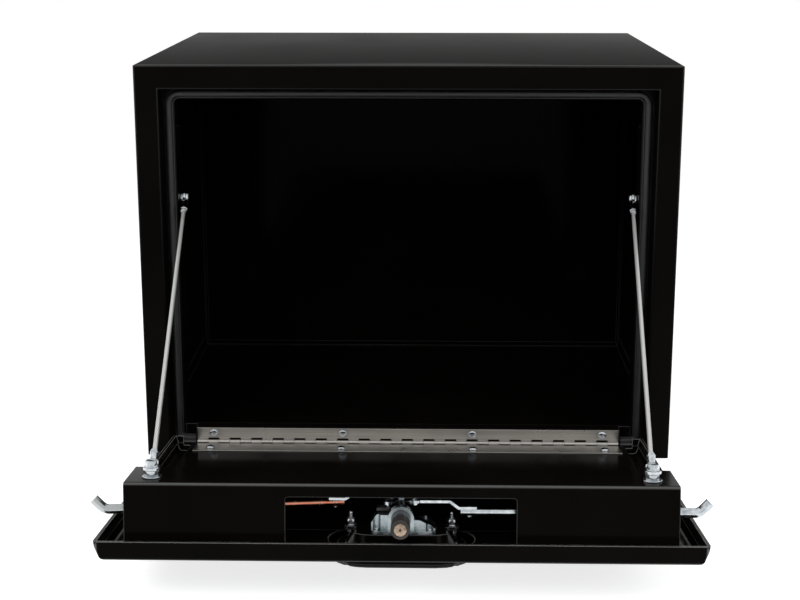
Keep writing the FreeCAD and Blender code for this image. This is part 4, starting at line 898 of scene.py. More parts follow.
@dataclass
class DoorSeal:
    """Hollow rubber bulb round the opening, with lips and curled ends."""

    case: CaseAxes
    width: float = 10.6
    height: float = 5.2
    wall: float = 1.1
    lip: float = 0.9
    lip_share: float = 0.84
    lip_swell: float = 1.15
    bore_share: float = 0.7
    crown_share: float = 0.86
    crown_start: float = 0.08
    wall_gap: float = 1.0
    corner: float = 14.0
    curl: float = 8.0
    end_height: float = 12.0
    end_x: float = 250.95
    arc_steps: int = 10
    sharp: float = 50.0

    def section(self) -> tuple[list[Row], list[Row]]:
        """Outlines of the bulb.

        Returns:
            The outer and the inner outline, point for point.
        """
        half = self.width / 2
        lip_half, lip_top = half * self.lip_share, self.lip * self.lip_swell
        outer: list[Row] = [(half, 0.0), (half, self.lip), (lip_half, lip_top)]
        inner: list[Row] = [(half * self.bore_share, self.wall)] * len(outer)
        far_outer = [(-u, v) for u, v in reversed(outer)]
        far_inner = [(-u, v) for u, v in inner]
        crown = self.height - self.lip
        reach = half * self.crown_share
        for step in range(self.arc_steps + 1):
            share = self.crown_start + (1 - 2 * self.crown_start) * step / self.arc_steps
            across, up = math.cos(math.pi * share), math.sin(math.pi * share)
            outer.append((reach * across, self.lip + crown * up))
            rise = max(self.wall, self.lip + (crown - self.wall) * up)
            inner.append(((reach - self.wall) * across, rise))
        return outer + far_outer, inner + far_inner

    def path(self) -> list[tuple[float, float, float, float]]:
        """Line of the seal from one curled end to the other.

        Returns:
            Points (x, z) with the outward direction (x, z) at each.
        """
        half = self.case.opening_half - self.wall_gap - self.width / 2
        top = self.case.opening_top - self.wall_gap - self.width / 2
        bends = (
            (half - self.curl, self.end_height + self.curl, self.curl, -1),
            (half - self.corner, top - self.corner, self.corner, 0),
        )
        right = [(self.end_x, self.end_height, 0.0, -1.0)]
        for middle_x, middle_z, radius, start in bends:
            for step in range(self.arc_steps + 1):
                angle = QUARTER * (start + step / self.arc_steps)
                x, z = math.cos(angle), math.sin(angle)
                right.append((middle_x + radius * x, middle_z + radius * z, x, z))
        return right + [(-x, z, -out_x, out_z) for x, z, out_x, out_z in reversed(right)]

    def build(self) -> None:
        """Sweep the bulb round the opening and close its two ends."""
        outer, inner = self.section()
        loop = outer + inner[::-1]
        seat = self.case.front + self.case.seat_depth
        shape = Shape()
        rings = []
        for x, z, out_x, out_z in self.path():
            rings.append([Vector((x + u * out_x, seat - v, z + u * out_z)) for u, v in loop])
        shape.rings(rings, caps=False)
        last = len(loop) - 1
        for start, way in ((0, 1), ((len(rings) - 1) * len(loop), -1)):
            for step in range(len(outer) - 1):
                quad = (step, step + 1, last - 1 - step, last - step)
                shape.faces.append(tuple(start + corner for corner in quad[::way]))
        piece = shape.made("seal_bulb", self.sharp)
        placed(piece, Finish.RUBBER, Body.CASE, Slot.RUBBER, "door_seal")


@dataclass
class PianoHinge:
    """Two rolled leaves on one pin, riveted to the sill and bolted to the door."""

    case: CaseAxes
    door: DoorAxes
    half: float = 247.65
    knuckle_pitch: float = 12.7
    knuckle_gap: float = 0.35
    knuckle_radius: float = 2.5
    sheet: float = 1.2
    notch: float = 4.3
    tongue: float = 0.1
    box_leaf_top: float = 16.5
    door_leaf_width: float = 38.0
    edge: float = 0.25
    roll_steps: int = 20
    roll_gap: float = 0.06
    sharp: float = 30.0
    fixings: int = 4
    fixing_inset: float = 19.05
    shank_radius: float = 2.4
    head_radius: float = 5.0
    head_edge: float = 0.3
    rivet_height: float = 22.5
    rivet_dome: float = 1.9
    rivet_tail: float = 1.5
    rivet_tail_radius: float = 3.6
    bolt_reach: float = 27.0
    bolt_tail: float = 5.0
    bolt_plain: float = 2.0
    bolt_collar: float = 1.2
    bolt_dome: float = 2.9
    tail_edge: float = 0.4
    thread: Thread = Thread(0.8, 0.35)

    @property
    def fixing_places(self) -> list[float]:
        """Places of the rivets and bolts along the hinge.

        Returns:
            Their x values.
        """
        gaps = self.fixings - 1
        pitch = 2 * (self.half - self.fixing_inset) / gaps
        return [pitch * (step - gaps / 2) for step in range(self.fixings)]

    def knuckle_section(self) -> list[Row]:
        """Rolled section of a knuckle.

        Returns:
            Points (n, t), n square to the leaf and t along it.
        """
        outer = self.knuckle_radius
        inner = outer - self.sheet
        end = FULL_TURN - math.acos(inner / outer) - self.roll_gap
        angles = [end * step / self.roll_steps for step in range(self.roll_steps + 1)]
        outside = [(outer * math.cos(angle), -outer * math.sin(angle)) for angle in angles]
        inside = [(inner * math.cos(angle), -inner * math.sin(angle)) for angle in angles]
        foot = self.notch + self.tongue
        return [(outer, foot)] + outside + inside[::-1] + [(inner, foot)]

    def leaf(
        self, first: int, width: float, place: Callable[[float, float, float], Vector]
    ) -> Shape:
        """Shape of a leaf with every second knuckle.

        Args:
            first: Index of the leaf's first knuckle.
            width: Reach of the leaf from the pin.
            place: Turns (x, n, t) into a point.

        Returns:
            The leaf's shape.
        """
        shape = Shape()
        section = self.knuckle_section()
        count = round(2 * self.half / self.knuckle_pitch)
        for index in range(first, count, 2):
            start = index * self.knuckle_pitch - self.half + self.knuckle_gap / 2
            end = start + self.knuckle_pitch - self.knuckle_gap
            shape.rings([[place(x, n, t) for n, t in section] for x in (start, end)])
        near, far = self.knuckle_radius - self.sheet, self.knuckle_radius
        edge = self.edge
        outline = [
            (far, self.notch),
            (far, width - edge),
            (far - edge, width),
            (near + edge, width),
            (near, width - edge),
            (near, self.notch),
        ]
        shape.rings([[place(x, n, t) for n, t in outline] for x in (-self.half, self.half)])
        return shape

    def build(self, smoother: EdgeSmoother) -> None:
        """Make the leaves, rivets and bolts.

        Args:
            smoother: Smooth shading for CAD nodes.
        """
        pin = Vector((0, self.door.hinge_y, self.door.hinge_z))
        upright = self.leaf(0, self.box_leaf_top, lambda x, n, t: pin + Vector((x, n, t)))
        piece = upright.made("box_leaf_rolled", self.sharp)
        placed(piece, Finish.STAINLESS, Body.CASE, Slot.STAINLESS, "hinge_box_leaf")
        swinging = self.leaf(1, self.door_leaf_width, lambda x, n, t: self.door.point(x, t, -n))
        piece = swinging.made("door_leaf_rolled", self.sharp)
        placed(piece, Finish.STAINLESS, Body.DOOR, Slot.STAINLESS, "hinge_door_leaf")
        smoother.dress(Finish.STAINLESS, "hinge_pin")
        self.rivets()
        self.bolts()
        smoother.dress(Finish.ZINC, "door_hinge_nuts")

    def rivets(self) -> None:
        """Make the dome rivets through the upright leaf and the sill."""
        shape = Shape()
        tail, tail_radius = self.rivet_tail, self.rivet_tail_radius
        head = self.sheet + self.case.sheet + tail
        rows = [(0, 0), (0, tail_radius - self.tail_edge), (self.tail_edge, tail_radius)]
        rows += [(tail, tail_radius), (tail, self.shank_radius), (head, self.shank_radius)]
        rows += [(head, self.head_radius - self.head_edge), (head + self.edge, self.head_radius)]
        rim = head + self.head_edge
        rows += dome_rows(rim, self.head_radius, self.rivet_dome - self.head_edge)
        for x in self.fixing_places:
            end = Vector((x, self.case.sill_face + self.case.sheet + tail, self.rivet_height))
            shape.turned(rows, aimed(end, FORWARD))
        piece = shape.made("box_rivet_domes")
        placed(piece, Finish.ZINC, Body.CASE, Slot.ZINC, "box_hinge_rivets")

    def bolts(self) -> None:
        """Make the domed bolts through the door leaf and the inner panel."""
        shape = Shape()
        bottom = self.door.panel_level - self.door.sheet - self.bolt_tail
        head = self.door.panel_level + self.sheet - bottom
        rows = [(0, 0), (0, self.shank_radius - self.tail_edge)]
        rows += self.thread.rows(self.tail_edge, head - self.bolt_plain, self.shank_radius)
        rows += [(head, self.shank_radius), (head, self.head_radius - self.head_edge)]
        rows += [(head + self.head_edge, self.head_radius)]
        rows += dome_rows(head + self.bolt_collar, self.head_radius, self.bolt_dome)
        for x in self.fixing_places:
            shape.turned(rows, self.door.stand(x, self.bolt_reach, bottom))
        piece = shape.made("door_bolt_domes")
        placed(piece, Finish.ZINC, Body.DOOR, Slot.ZINC, "door_hinge_bolts")


@dataclass
class DoorSheets:
    """Outer skin, inner panel, raised channel and latch dish."""

    door: DoorAxes
    sheets: tuple[str, ...] = ("door_skin", "door_inner_panel")
    window_half: float = 104.0
    window_low_edge: float = 35.5
    window_top: float = 39.0
    window_raised: float = 6.5
    margin: float = 0.1
    bend_highlight_colour: Triple = (0.075, 0.075, 0.073)

    def raise_window(self, mesh: bpy.types.Mesh) -> None:
        """Move the upper edge of the channel's window to its real height.

        Args:
            mesh: A copy of the channel's mesh.
        """
        inverse = self.door.matrix.inverted()
        lift = self.door.normal * self.window_raised * MM
        for vertex in mesh.vertices:
            x, back, level = inverse @ (vertex.co / MM)
            in_front = -back > self.door.channel_front - 2 * self.door.sheet
            in_edge = self.window_low_edge < level < self.window_top + self.margin
            if abs(x) < self.window_half + self.margin and in_front and in_edge:
                vertex.co += lift

    def channel(self, smoother: EdgeSmoother) -> None:
        """Make the channel's sheet from its CAD shape, with the window's real height and a painted
        highlight along its top-front bend.

        Args:
            smoother: Smooth shading for CAD shapes.
        """
        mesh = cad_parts["latch_channel"].data.copy()
        self.raise_window(mesh)
        piece = linked("channel_sheet", mesh)
        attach(piece, Body.DOOR.value)
        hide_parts("latch_channel")
        # Painted highlight along the channel's top-front bend, in the colour that also paints its
        # edge highlights.
        bend = self.door.point(0, self.door.channel_front, self.door.channel_top) * MM
        coat = PowderCoat(
            "channel_powder_coat", edge_highlight_colour=self.bend_highlight_colour, highlight_bend_place=tuple(bend)
        )
        smoother.shade(piece, made_once(coat))

    def build(self, smoother: EdgeSmoother) -> None:
        """Dress the sheets and make the channel.

        Args:
            smoother: Smooth shading for CAD nodes.
        """
        smoother.dress(Finish.DOOR_COAT, *self.sheets)
        smoother.dress(Finish.DISH_COAT, "handle_dish")
        self.channel(smoother)


@dataclass
class DishFixings:
    """Gasket, studs, nuts, washers and screws that hold the latch dish."""

    door: DoorAxes
    dish_top: float = 10.0
    opening_length: float = 116.0
    opening_width: float = 60.0
    opening_gap: float = 3.25
    oval_steps: int = 20
    gasket_half: float = 67.0
    gasket_width: float = 72.0
    gasket_sheet: float = 0.8
    gasket_edge: float = 0.25
    ear_sheet: float = 2.8
    stud_x: float = 46.5
    stud_radius: float = 2.5
    stud_top: float = 23.4
    stud_plain: float = 0.5
    stud_point: float = 0.8
    stud_thread: Thread = Thread(0.8, 0.35)
    washer_sheet: float = 1.4
    washer_radius: float = 6.5
    washer_edge: float = 0.3
    spring_sheet: float = 1.3
    nut_height: float = 5.2
    nut_flats: float = 10.0
    nut_edge: float = 0.55
    screw_x: float = 50.0
    screw_y: float = 28.5
    screw_radius: float = 1.6
    screw_seat: float = -15.2
    screw_tip: float = 2.7
    screw_head: float = 1.8
    screw_head_radius: float = 3.1
    screw_head_edge: float = 0.5
    screw_plain: float = 4.5
    screw_thread_end: float = 1.0
    screw_point: float = 0.6
    screw_thread: Thread = Thread(0.7, 0.25)

    def oval(self, length: float, width: float, level: float) -> list[Vector]:
        """Flat-sided oval round the latch, in the case's axes.

        Args:
            length: Size along x.
            width: Size across.
            level: Level in the door.

        Returns:
            The outline's points.
        """
        points = []
        for side in (1, -1):
            for step in range(self.oval_steps + 1):
                angle = math.pi * (step / self.oval_steps - 0.5)
                x = side * ((length - width) / 2 + width / 2 * math.cos(angle))
                reach = self.door.latch_reach + side * width / 2 * math.sin(angle)
                points.append(self.door.point(x, reach, level))
        return points

    def gasket(self) -> None:
        """Make the flat rubber ring under the bezel, with rounded outer edges."""
        low = self.door.skin_level - self.gasket_sheet
        edge, top = self.gasket_edge, self.gasket_sheet
        rings = []
        for inset, rise in ((edge, 0), (0, edge), (0, top - edge), (edge, top)):
            length = 2 * (self.gasket_half - inset)
            rings.append(self.oval(length, self.gasket_width - 2 * inset, low + rise))
        inner_length = self.opening_length + 2 * self.opening_gap
        inner_width = self.opening_width + 2 * self.opening_gap
        rings += [self.oval(inner_length, inner_width, low + rise) for rise in (top, 0)]
        shape = Shape()
        shape.rings(rings, closed=True)
        piece = shape.made("gasket_ring")
        placed(piece, Finish.RUBBER, Body.DOOR, Slot.RUBBER, "dish_gasket")

    def stacks(self) -> None:
        """Make the two studs on the dish's ears, with their washers and nuts."""
        studs, washers, nuts = Shape(), Shape(), Shape()
        bore, edge = self.stud_radius, self.washer_edge
        nut_low = self.dish_top + self.washer_sheet
        nut_high = nut_low + self.nut_height
        foot = self.dish_top - self.ear_sheet
        rod = [(foot, 0), (foot, bore), (nut_high, bore)]
        rod += self.stud_thread.rows(nut_high, self.stud_top - self.stud_plain, bore)
        rod += [(self.stud_top, bore - self.stud_point), (self.stud_top, 0)]
        flat = ring_rows(self.dish_top, nut_low, bore, self.washer_radius, edge)
        spring_top = nut_high + self.spring_sheet
        spring = ring_rows(nut_high, spring_top, bore, self.nut_flats / 2, edge)
        corner = self.nut_flats / math.sqrt(3)
        nut = ring_rows(nut_low, nut_high, bore, corner, self.nut_edge)
        for side in SIDES:
            place = self.door.stand(side * self.stud_x, self.door.latch_reach)
            studs.turned(rod, place)
            washers.turned(flat, place, closed=True)
            washers.turned(spring, place, closed=True)
            nuts.turned(nut, place, closed=True, flats=self.nut_flats)
        for shape, name, node in (
            (studs, "stud_threads", "dish_studs"),
            (washers, "stud_washers", "dish_washers"),
            (nuts, "stud_nuts", "dish_nuts"),
        ):
            placed(shape.made(name), Finish.ZINC, Body.DOOR, Slot.ZINC, node)

    def screws(self) -> None:
        """Make the bezel's four screws, with black heads and bright tips."""
        radius, head = self.screw_radius, self.screw_head_radius
        low = -self.screw_head
        rows = [(low, 0), (low, head - self.screw_head_edge), (low + self.screw_head_edge, head)]
        rows += [(0, head), (0, radius)]
        length = self.screw_tip - self.screw_seat
        thread = self.screw_thread
        rows += thread.rows(self.screw_plain, length - self.screw_thread_end, radius)
        rows += [(length - self.screw_point, radius - thread.depth)]
        rows += [(length, self.screw_point), (length, 0)]
        shape = Shape()
        for side in SIDES:
            for step in SIDES:
                reach = self.door.latch_reach + step * self.screw_y
                shape.turned(rows, self.door.stand(side * self.screw_x, reach, self.screw_seat))
        piece = shape.made("bezel_screws")
        placed(piece, Finish.ZINC, Body.DOOR, Slot.ZINC, "dish_screws")
        piece.data.materials.append(Finish.OXIDE.material)
        inverse = self.door.matrix.inverted()
        for face in piece.data.polygons:
            if (inverse @ (face.center / MM)).z < self.screw_seat + self.screw_head_edge:
                face.material_index = 1

    def build(self) -> None:
        """Make the gasket, the stud stacks and the screws."""
        self.gasket()
        self.stacks()
        self.screws()


@dataclass
class LatchWorks:
    """Handle, casting, lever, links, rods and bolts, which keep their CAD shapes."""

    finishes: tuple[tuple[Finish, tuple[str, ...]], ...] = (
        (Finish.CASTING, ("latch_housing",)),
        (Finish.ZINC, ("housing_screws", "lever_plate", "spindle_nut", "pin_clips")),
        (Finish.ZINC, ("rod_right", "rod_link_left", "rod_link_right")),
        (Finish.ZINC, ("link_rivet_left", "link_rivet_right")),
        (Finish.CHROME, ("t_handle", "lock_cylinder", "lock_plug")),
        (Finish.NYLON, ("rod_guide_left", "rod_guide_right")),
        (Finish.WARM_ZINC, ("rod_left",)),
        (Finish.OXIDE, ("centre_bolt_sleeve",)),
        (Finish.BRASS, ("centre_bolt_core",)),
    )

    def build(self, smoother: EdgeSmoother) -> None:
        """Dress the latch, with the smooth shading for CAD nodes."""
        for finish, nodes in self.finishes:
            smoother.dress(finish, *nodes)


@dataclass
class StayCables:
    """Coated wire ropes with crimped eyes and their bolts."""

    case: CaseAxes
    door: DoorAxes
    anchor_height: float = 300.0
    anchor_depth: float = 45.0
    anchor_tail: float = 6.0
    anchor_head: float = 6.3
    anchor_rim: float = 0.3
    anchor_collar: float = 1.0
    anchor_dome: float = 3.0
    spacer: float = 3.4
    spacer_radius: float = 6.5
    lug_sheet: float = 3.0
    lug_radius: float = 8.0
    lug_width: float = 8.0
    lug_corner: float = 0.6
    lug_edge: float = 0.5
    lug_bend: float = 9.5
    lug_start: float = 1.5
    bend_before: float = 1.2
    bend_middle: float = 0.2
    bend_after: float = 1.4
    lug_overlap: float = 2.5
    upper_overlap: float = 3.0
    bolt_radius: float = 3.5
    bolt_edge: float = 0.5
    bolt_thread: Thread = Thread(0.5, 0.2)
    door_inset: float = 22.5
    door_setback: float = 20.0
    door_rise: float = 8.5
    door_tail: float = 6.5
    stack_nut: float = 5.0
    stack_nut_edge: float = 0.55
    nut_flats: float = 11.0
    washer_edge: float = 0.35
    wide_washer: Row = (1.6, 9.0)
    top_washer: Row = (1.4, 6.3)
    head_rows: tuple[Row, ...] = ((0.0, 0.3), (0.2, 0.0), (4.0, 0.0), (4.6, 0.9))
    head_hollow: tuple[Row, ...] = ((4.6, 3.2), (4.3, 3.0), (4.3, 0.0))
    ferrule_start: float = 9.0
    ferrule_length: float = 20.0
    ferrule_radius: float = 3.6
    ferrule_edge: float = 0.6
    ferrule_end: Row = (1.2, 0.9)
    collar_length: float = 2.0
    collar_slope: float = 0.5
    lower_collar: float = 11.0
    upper_collar: float = 3.0
    barrel_start: float = 4.0
    barrel_segments: int = 36
    cable_radius: float = 2.2
    free_length: float = 381.5
    fold_share: float = 0.56
    lay_pitch: float = 24.0
    lay_depth: float = 0.045
    strands: int = 6
    strand_corners: int = 6
    cable_steps: int = 96
    cable_sharp: float = 60.0

    def upper_eye(self, side: int) -> Vector:
        """Middle of the eye on the case, on the left (-1) or the right (1)."""
        x = self.case.seat_edge_half - self.spacer - self.lug_sheet / 2
        return Vector((side * x, self.case.front + self.anchor_depth, self.anchor_height))

    def lower_eye(self, side: int) -> Triple:
        """Middle of the eye on the door.

        Args:
            side: -1 for the left, 1 for the right.

        Returns:
            Its place in the door's axes (x, reach, level).
        """
        x = side * (self.door.channel_half - self.door_inset)
        reach = self.door.channel_front - self.door_setback
        return x, reach, self.door.channel_top + self.door_rise

    def lower_bend(self, side: int) -> tuple[Vector, Vector]:
        """Where the door's eye turns up into the cable.

        Args:
            side: -1 for the left, 1 for the right.

        Returns:
            The bend's point and the direction of the flat tongue.
        """
        eye = self.door.point(*self.lower_eye(side))
        turn = self.door.matrix.to_3x3()
        target = turn.inverted() @ (self.upper_eye(side) - eye)
        flat = turn @ Vector((target.x, target.y, 0)).normalized()
        return eye + flat * self.lug_bend, flat

    def line(self, side: int) -> tuple[Vector, Vector, float]:
        """Taut line between the bend and the upper eye.

        Args:
            side: -1 for the left, 1 for the right.

        Returns:
            Its lower point, direction and length.
        """
        low, _ = self.lower_bend(side)
        run = self.upper_eye(side) - low
        return low, run.normalized(), run.length

    def rope(self, centres: Sequence[Vector], way: Vector) -> Shape:
        """Shape of the strands round the cable's line.

        Args:
            centres: Points of the line.
            way: Its direction.

        Returns:
            The shape.
        """
        across = way.cross(UP).normalized()
        square = way.cross(across)
        shape = Shape()
        rings = []
        corners = self.strand_corners * self.strands
        run = 0.0
        for index, centre in enumerate(centres):
            run += (centre - centres[index - 1]).length if index else 0.0
            ring = []
            for step in range(corners):
                angle = FULL_TURN * step / corners
                wave = math.cos(self.strands * (angle - FULL_TURN * run / self.lay_pitch))
                radius = self.cable_radius * (1 - self.lay_depth * (1 - wave))
                out = across * math.cos(angle) + square * math.sin(angle)
                ring.append(centre + out * radius)
                shape.uvs.append((step / corners, run / self.lay_pitch))
            rings.append(ring)
        shape.rings(rings)
        return shape

    def cable(self, side: int) -> None:
        """Args:
            side: -1 for the left, 1 for the right.
        """
        low, way, length = self.line(side)
        start = low + way * (length - self.ferrule_start - self.ferrule_length)
        end = low + way * self.ferrule_length
        centres = smooth_line([start, (start + end) / 2, end], self.cable_steps)
        piece = self.rope(centres, way).made(f"stay_cable_{side_name(side)}", self.cable_sharp)
        placed(piece, Finish.CABLE, None, Slot.CABLE, f"cable_{side_name(side)}")
        fold = start.lerp(end, self.fold_share)
        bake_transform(piece)

    def barrel_rows(self, collar: float, length: float) -> list[Row]:
        """Profile rows of a swaged barrel.

        Args:
            collar: Height of the collar on it.
            length: Length of the barrel.

        Returns:
            Rows of (height, radius).
        """
        radius, edge = self.ferrule_radius, self.ferrule_edge
        collar_end = collar + self.collar_length
        cone, narrowing = self.ferrule_end
        return [
            (0, 0),
            (0, radius - edge),
            (edge, radius),
            (collar - self.collar_slope, radius),
            (collar, radius + edge),
            (collar_end, radius + edge),
            (collar_end + self.collar_slope, radius),
            (length - cone, radius),
            (length, radius - narrowing),
            (length, 0),
        ]

    def lug_disc(self) -> list[Row]:
        """Profile rows of a ferrule's flat eye."""
        half = self.lug_sheet / 2
        return ring_rows(-half, half, self.bolt_radius, self.lug_radius, self.lug_edge)

    def lower_ferrule(self, side: int) -> bpy.types.Object:
        """Make the crimped eye on the door.

        Args:
            side: -1 for the left, 1 for the right.

        Returns:
            The piece.
        """
        low, way, _ = self.line(side)
        bend, flat = self.lower_bend(side)
        place = self.lower_eye(side)
        shape = Shape()
        shape.turned(self.lug_disc(), self.door.stand(*place), closed=True)
        eye = self.door.point(*place)
        normal = self.door.normal
        across = normal.cross(flat).normalized()
        tilted = way.cross(across).normalized()
        tilted = tilted if tilted.dot(normal) > 0 else -tilted
        middle = (normal + tilted).normalized()
        turn = (flat + way) * self.bend_middle
        stations = [
            (eye + flat * (self.bolt_radius + self.lug_start), across, normal),
            (bend - flat * self.bend_before, across, normal),
            (bend + turn, across, middle),
            (low + way * self.bend_after, across, tilted),
            (low + way * (self.barrel_start + self.lug_overlap), across, tilted),
        ]
        shape.swept(rounded_bar(self.lug_width, self.lug_sheet, self.lug_corner), stations)
        rows = self.barrel_rows(self.lower_collar, self.ferrule_length - self.barrel_start)
        foot = aimed(low + way * self.barrel_start, way)
        shape.turned(rows, foot, segments=self.barrel_segments)
        piece = shape.made(f"lower_ferrule_{side_name(side)}")
        return placed(piece, Finish.ZINC, Body.DOOR, Slot.ZINC, "cable_lower_ferrules")

    def upper_ferrule(self, side: int) -> bpy.types.Object:
        """Make the crimped eye on the case.

        Args:
            side: -1 for the left, 1 for the right.

        Returns:
            The piece.
        """
        _, way, _ = self.line(side)
        eye = self.upper_eye(side)
        shape = Shape()
        shape.turned(self.lug_disc(), aimed(eye, SIDEWAYS), closed=True)
        along = Vector((0, -way.y, -way.z)).normalized()
        across = SIDEWAYS.cross(along).normalized()
        ends = (self.bolt_radius + self.lug_start, self.ferrule_start + self.upper_overlap)
        stations = [(eye + along * end, across, SIDEWAYS) for end in ends]
        shape.swept(rounded_bar(self.lug_width, self.lug_sheet, self.lug_corner), stations)
        foot = aimed(eye - way * (self.ferrule_start + self.ferrule_length), way)
        rows = self.barrel_rows(self.upper_collar, self.ferrule_length)
        shape.turned(rows, foot, segments=self.barrel_segments)
        piece = shape.made(f"upper_ferrule_{side_name(side)}")
        return placed(piece, Finish.ZINC, Body.CASE, Slot.ZINC, "cable_upper_ferrules")

    def anchors(self, smoother: EdgeSmoother) -> None:
        """Make the bolts and thick washers of the upper eyes.

        Args:
            smoother: Smooth shading for CAD nodes.
        """
        bolts, washers = Shape(), Shape()
        bore, edge, lug = self.bolt_radius, self.bolt_edge, self.lug_sheet / 2
        tail_x = self.case.seat_edge_half + self.case.sheet + self.anchor_tail
        washer = ring_rows(lug, lug + self.spacer, bore, self.spacer_radius, edge)
        for side in SIDES:
            eye = self.upper_eye(side)
            end = Vector((side * tail_x, eye.y, eye.z))
            shank = (end - eye).length + lug
            rim = self.anchor_head - self.anchor_rim
            rows = [(0, 0), (0, bore - edge), (edge, bore), (shank, bore)]
            rows += [(shank, rim), (shank + self.anchor_rim, self.anchor_head)]
            rows += dome_rows(shank + self.anchor_collar, self.anchor_head, self.anchor_dome)
            bolts.turned(rows, aimed(end, -side * SIDEWAYS))
            washers.turned(washer, aimed(eye, side * SIDEWAYS), closed=True)
        for shape, name, node in (
            (bolts, "anchor_bolt_domes", "cable_anchor_bolts"),
            (washers, "anchor_spacers", "cable_anchor_washers"),
        ):
            placed(shape.made(name), Finish.ZINC, Body.CASE, Slot.ZINC, node)
        smoother.dress(Finish.ZINC, "cable_anchor_nuts")

    def door_stacks(self) -> None:
        """Make the hexagon bolts, washers and nuts on the door's channel."""
        bolts, washers, nuts = Shape(), Shape(), Shape()
        bore = self.bolt_radius
        top = self.door.channel_top
        under = top - self.door.sheet
        tail = under - self.door_tail
        eye_low = top + self.door_rise - self.lug_sheet / 2
        eye_high = eye_low + self.lug_sheet
        wide_sheet, wide_radius = self.wide_washer
        top_sheet, top_radius = self.top_washer
        head = eye_high + top_sheet
        corner = self.nut_flats / math.sqrt(3)
        shank = [(tail, 0), (tail, bore - self.bolt_edge)]
        shank += self.bolt_thread.rows(tail + self.bolt_edge, under - self.stack_nut, bore)
        shank += [(head, bore), (head, 0)]
        hexagon = [(head, 0)] + [(head + rise, corner - inset) for rise, inset in self.head_rows]
        hexagon += [(head + rise, radius) for rise, radius in self.head_hollow]
        rings = ((top, top + wide_sheet, wide_radius), (eye_high, head, top_radius))
        nut_places = ((top + wide_sheet, eye_low), (under - self.stack_nut, under))
        for side in SIDES:
            x, reach, _ = self.lower_eye(side)
            place = self.door.stand(x, reach)
            bolts.turned(shank, place)
            bolts.turned(hexagon, place, flats=self.nut_flats)
            for low, high, radius in rings:
                ring = ring_rows(low, high, bore, radius, self.washer_edge)
                washers.turned(ring, place, closed=True)
            for low, high in nut_places:
                nut = ring_rows(low, high, bore, corner, self.stack_nut_edge)
                nuts.turned(nut, place, closed=True, flats=self.nut_flats)
        for shape, name, node in (
            (bolts, "stack_bolts", "cable_door_bolts"),
            (washers, "stack_washers", "cable_door_washers"),
            (nuts, "stack_nuts", "cable_door_nuts"),
        ):
            placed(shape.made(name), Finish.ZINC, Body.DOOR, Slot.ZINC, node)

    def build(self, smoother: EdgeSmoother) -> None:
        """Make both cables with all their fittings.

        Args:
            smoother: Smooth shading for CAD nodes.
        """
        for side in SIDES:
            fittings = [self.upper_ferrule(side), self.lower_ferrule(side)]
            self.cable(side)
        self.anchors(smoother)
        self.door_stacks()


# Studio


@dataclass(frozen=True)
class SoftLight:
    """A rectangular soft light."""

    name: str
    place: Triple
    aim: Triple
    size: Row
    power: float

    def build(self) -> None:
        """Hang the light, unseen in reflections."""
        lamp = bpy.data.lights.new(self.name, "AREA")
        lamp.shape = "RECTANGLE"
        lamp.size, lamp.size_y = self.size
        lamp.energy = self.power
        holder = linked(self.name, lamp)
        holder.location = self.place
        way = Vector(self.aim) - Vector(self.place)
        holder.rotation_euler = way.to_track_quat("-Z", "Y").to_euler()
        holder.visible_glossy = False


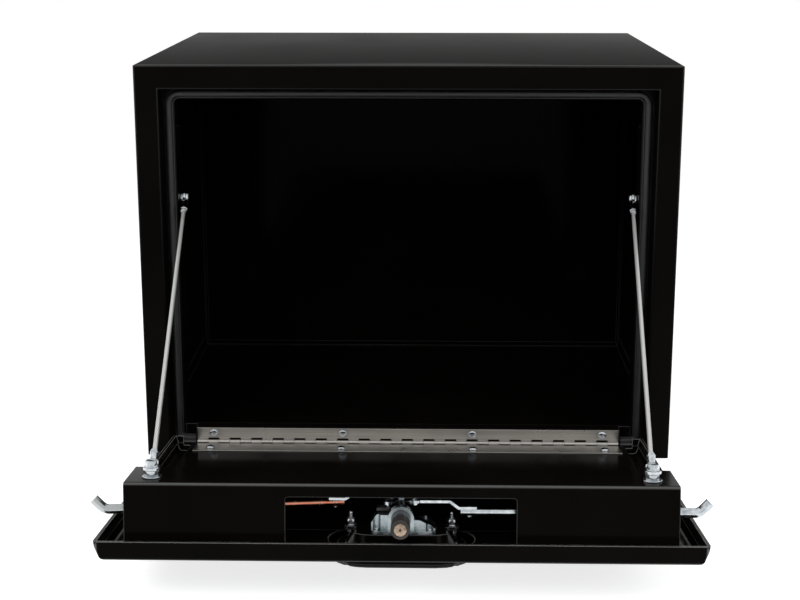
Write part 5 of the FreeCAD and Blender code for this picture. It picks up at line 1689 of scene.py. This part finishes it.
@dataclass
class Studio:
    """Camera at the photograph's angle, soft lights and a pale floor."""

    camera_place: Triple = (0.0235, -1.8058, 0.6158)
    pitch: float = 12.71
    yaw: float = 1.16
    lens: float = 64.31
    sensor: float = 36.0
    frame_shift: float = -0.075
    clip: Row = (0.05, 100.0)
    floor_half: float = 25.0
    floor_colour: Triple = (0.55, 0.55, 0.55)
    floor_roughness: float = 0.9
    backdrop_colour: Triple = (0.02, 0.02, 0.02)
    backdrop_reach: Row = (0.6, 1.5)
    near_glow: float = 0.78
    world_colour: Triple = (0.94, 0.96, 1.0)
    world_level: float = 0.35
    lights: tuple[SoftLight, ...] = (
        SoftLight("key_light", (-1.1, -1.9, 1.7), (0, -0.2, 0.2), (1.4, 1.0), 38.0),
        SoftLight("fill_light", (1.4, -1.7, 1.2), (0, -0.2, 0.25), (1.2, 0.9), 20.0),
        SoftLight("top_light", (0.0, -0.3, 2.1), (0, -0.2, 0.3), (1.6, 1.2), 26.0),
    )

    def camera(self) -> None:
        """Set up the camera."""
        data = bpy.data.cameras.new("camera")
        data.lens = self.lens
        data.sensor_width = self.sensor
        data.shift_y = self.frame_shift
        data.clip_start, data.clip_end = self.clip
        holder = linked("camera", data)
        holder.location = self.camera_place
        holder.rotation_euler = (math.radians(90 - self.pitch), 0, math.radians(self.yaw))
        bpy.context.scene.camera = holder

    def seen(self, tree: bpy.types.NodeTree) -> Output:
        """Share of camera, glossy and transmission rays.

        Args:
            tree: Tree to add the nodes to.

        Returns:
            A socket that is one for those rays.
        """
        path = tree.nodes.new("ShaderNodeLightPath")
        total = path.outputs["Is Camera Ray"]
        for name in ("Is Glossy Ray", "Is Transmission Ray"):
            most = tree.nodes.new("ShaderNodeMath")
            most.operation = "MAXIMUM"
            tree.links.new(total, most.inputs[0])
            tree.links.new(path.outputs[name], most.inputs[1])
            total = most.outputs[0]
        return total

    def world(self) -> None:
        """Make white surroundings where they are seen, and a plain level for lighting."""
        world = bpy.data.worlds.new("studio")
        world.use_nodes = True
        tree = world.node_tree
        tree.nodes.clear()
        light = tree.nodes.new("ShaderNodeBackground")
        light.inputs["Color"].default_value = (*self.world_colour, 1)
        light.inputs["Strength"].default_value = self.world_level
        white = tree.nodes.new("ShaderNodeBackground")
        white.inputs["Color"].default_value = WHITE
        mix = tree.nodes.new("ShaderNodeMixShader")
        out = tree.nodes.new("ShaderNodeOutputWorld")
        sources = (self.seen(tree), light.outputs[0], white.outputs[0])
        for source, socket in zip(sources, mix.inputs):
            tree.links.new(source, socket)
        tree.links.new(mix.outputs[0], out.inputs[0])
        bpy.context.scene.world = world

    def floor(self) -> None:
        """Make a pale floor that turns white away from the object and keeps its shadow."""
        shape = Shape()
        half = self.floor_half / MM
        corners = ((-1, -1), (1, -1), (1, 1), (-1, 1))
        shape.corners = [Vector((x * half, y * half, 0)) for x, y in corners]
        shape.faces = [(0, 1, 2, 3)]
        floor = shape.made("floor")
        shader = Shader("pale_floor", self.floor_colour, 0.0, self.floor_roughness)
        shader.drive(Socket.SPECULAR, 0.0)
        where = shader.node("ShaderNodeTexCoord").outputs["Object"]
        away = shader.vector_maths("LENGTH", where)
        far = shader.remap(away, self.backdrop_reach, interpolation_type="SMOOTHSTEP")
        glow = shader.remap(far, shader.unit, (self.near_glow, 1.0))
        shader.drive(Socket.COLOUR, shader.mixed(far, self.floor_colour, self.backdrop_colour))
        shader.drive(Socket.GLOW_COLOUR, WHITE)
        shader.drive(Socket.GLOW, shader.maths("MULTIPLY", glow, self.seen(shader.tree)))
        floor.data.materials.append(shader.material)

    def build(self) -> None:
        """Set up camera, lights, world and floor."""
        self.camera()
        self.world()
        self.floor()
        for light in self.lights:
            light.build()
        bpy.context.scene.view_settings.view_transform = "Standard"


def main() -> None:
    """Dress the tool box and set the studio round it."""
    logging.basicConfig(level=logging.INFO, format="%(name)s: %(message)s")
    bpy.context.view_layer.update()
    Studio().build()
    smoother = EdgeSmoother()
    case, door = CaseAxes(), DoorAxes()
    StayCables(case, door).build(smoother)
    Case().build(smoother)
    DoorSeal(case).build()
    PianoHinge(case, door).build(smoother)
    DoorSheets(door).build(smoother)
    DishFixings(door).build()
    LatchWorks().build(smoother)


if __name__ == "__main__":
    main()
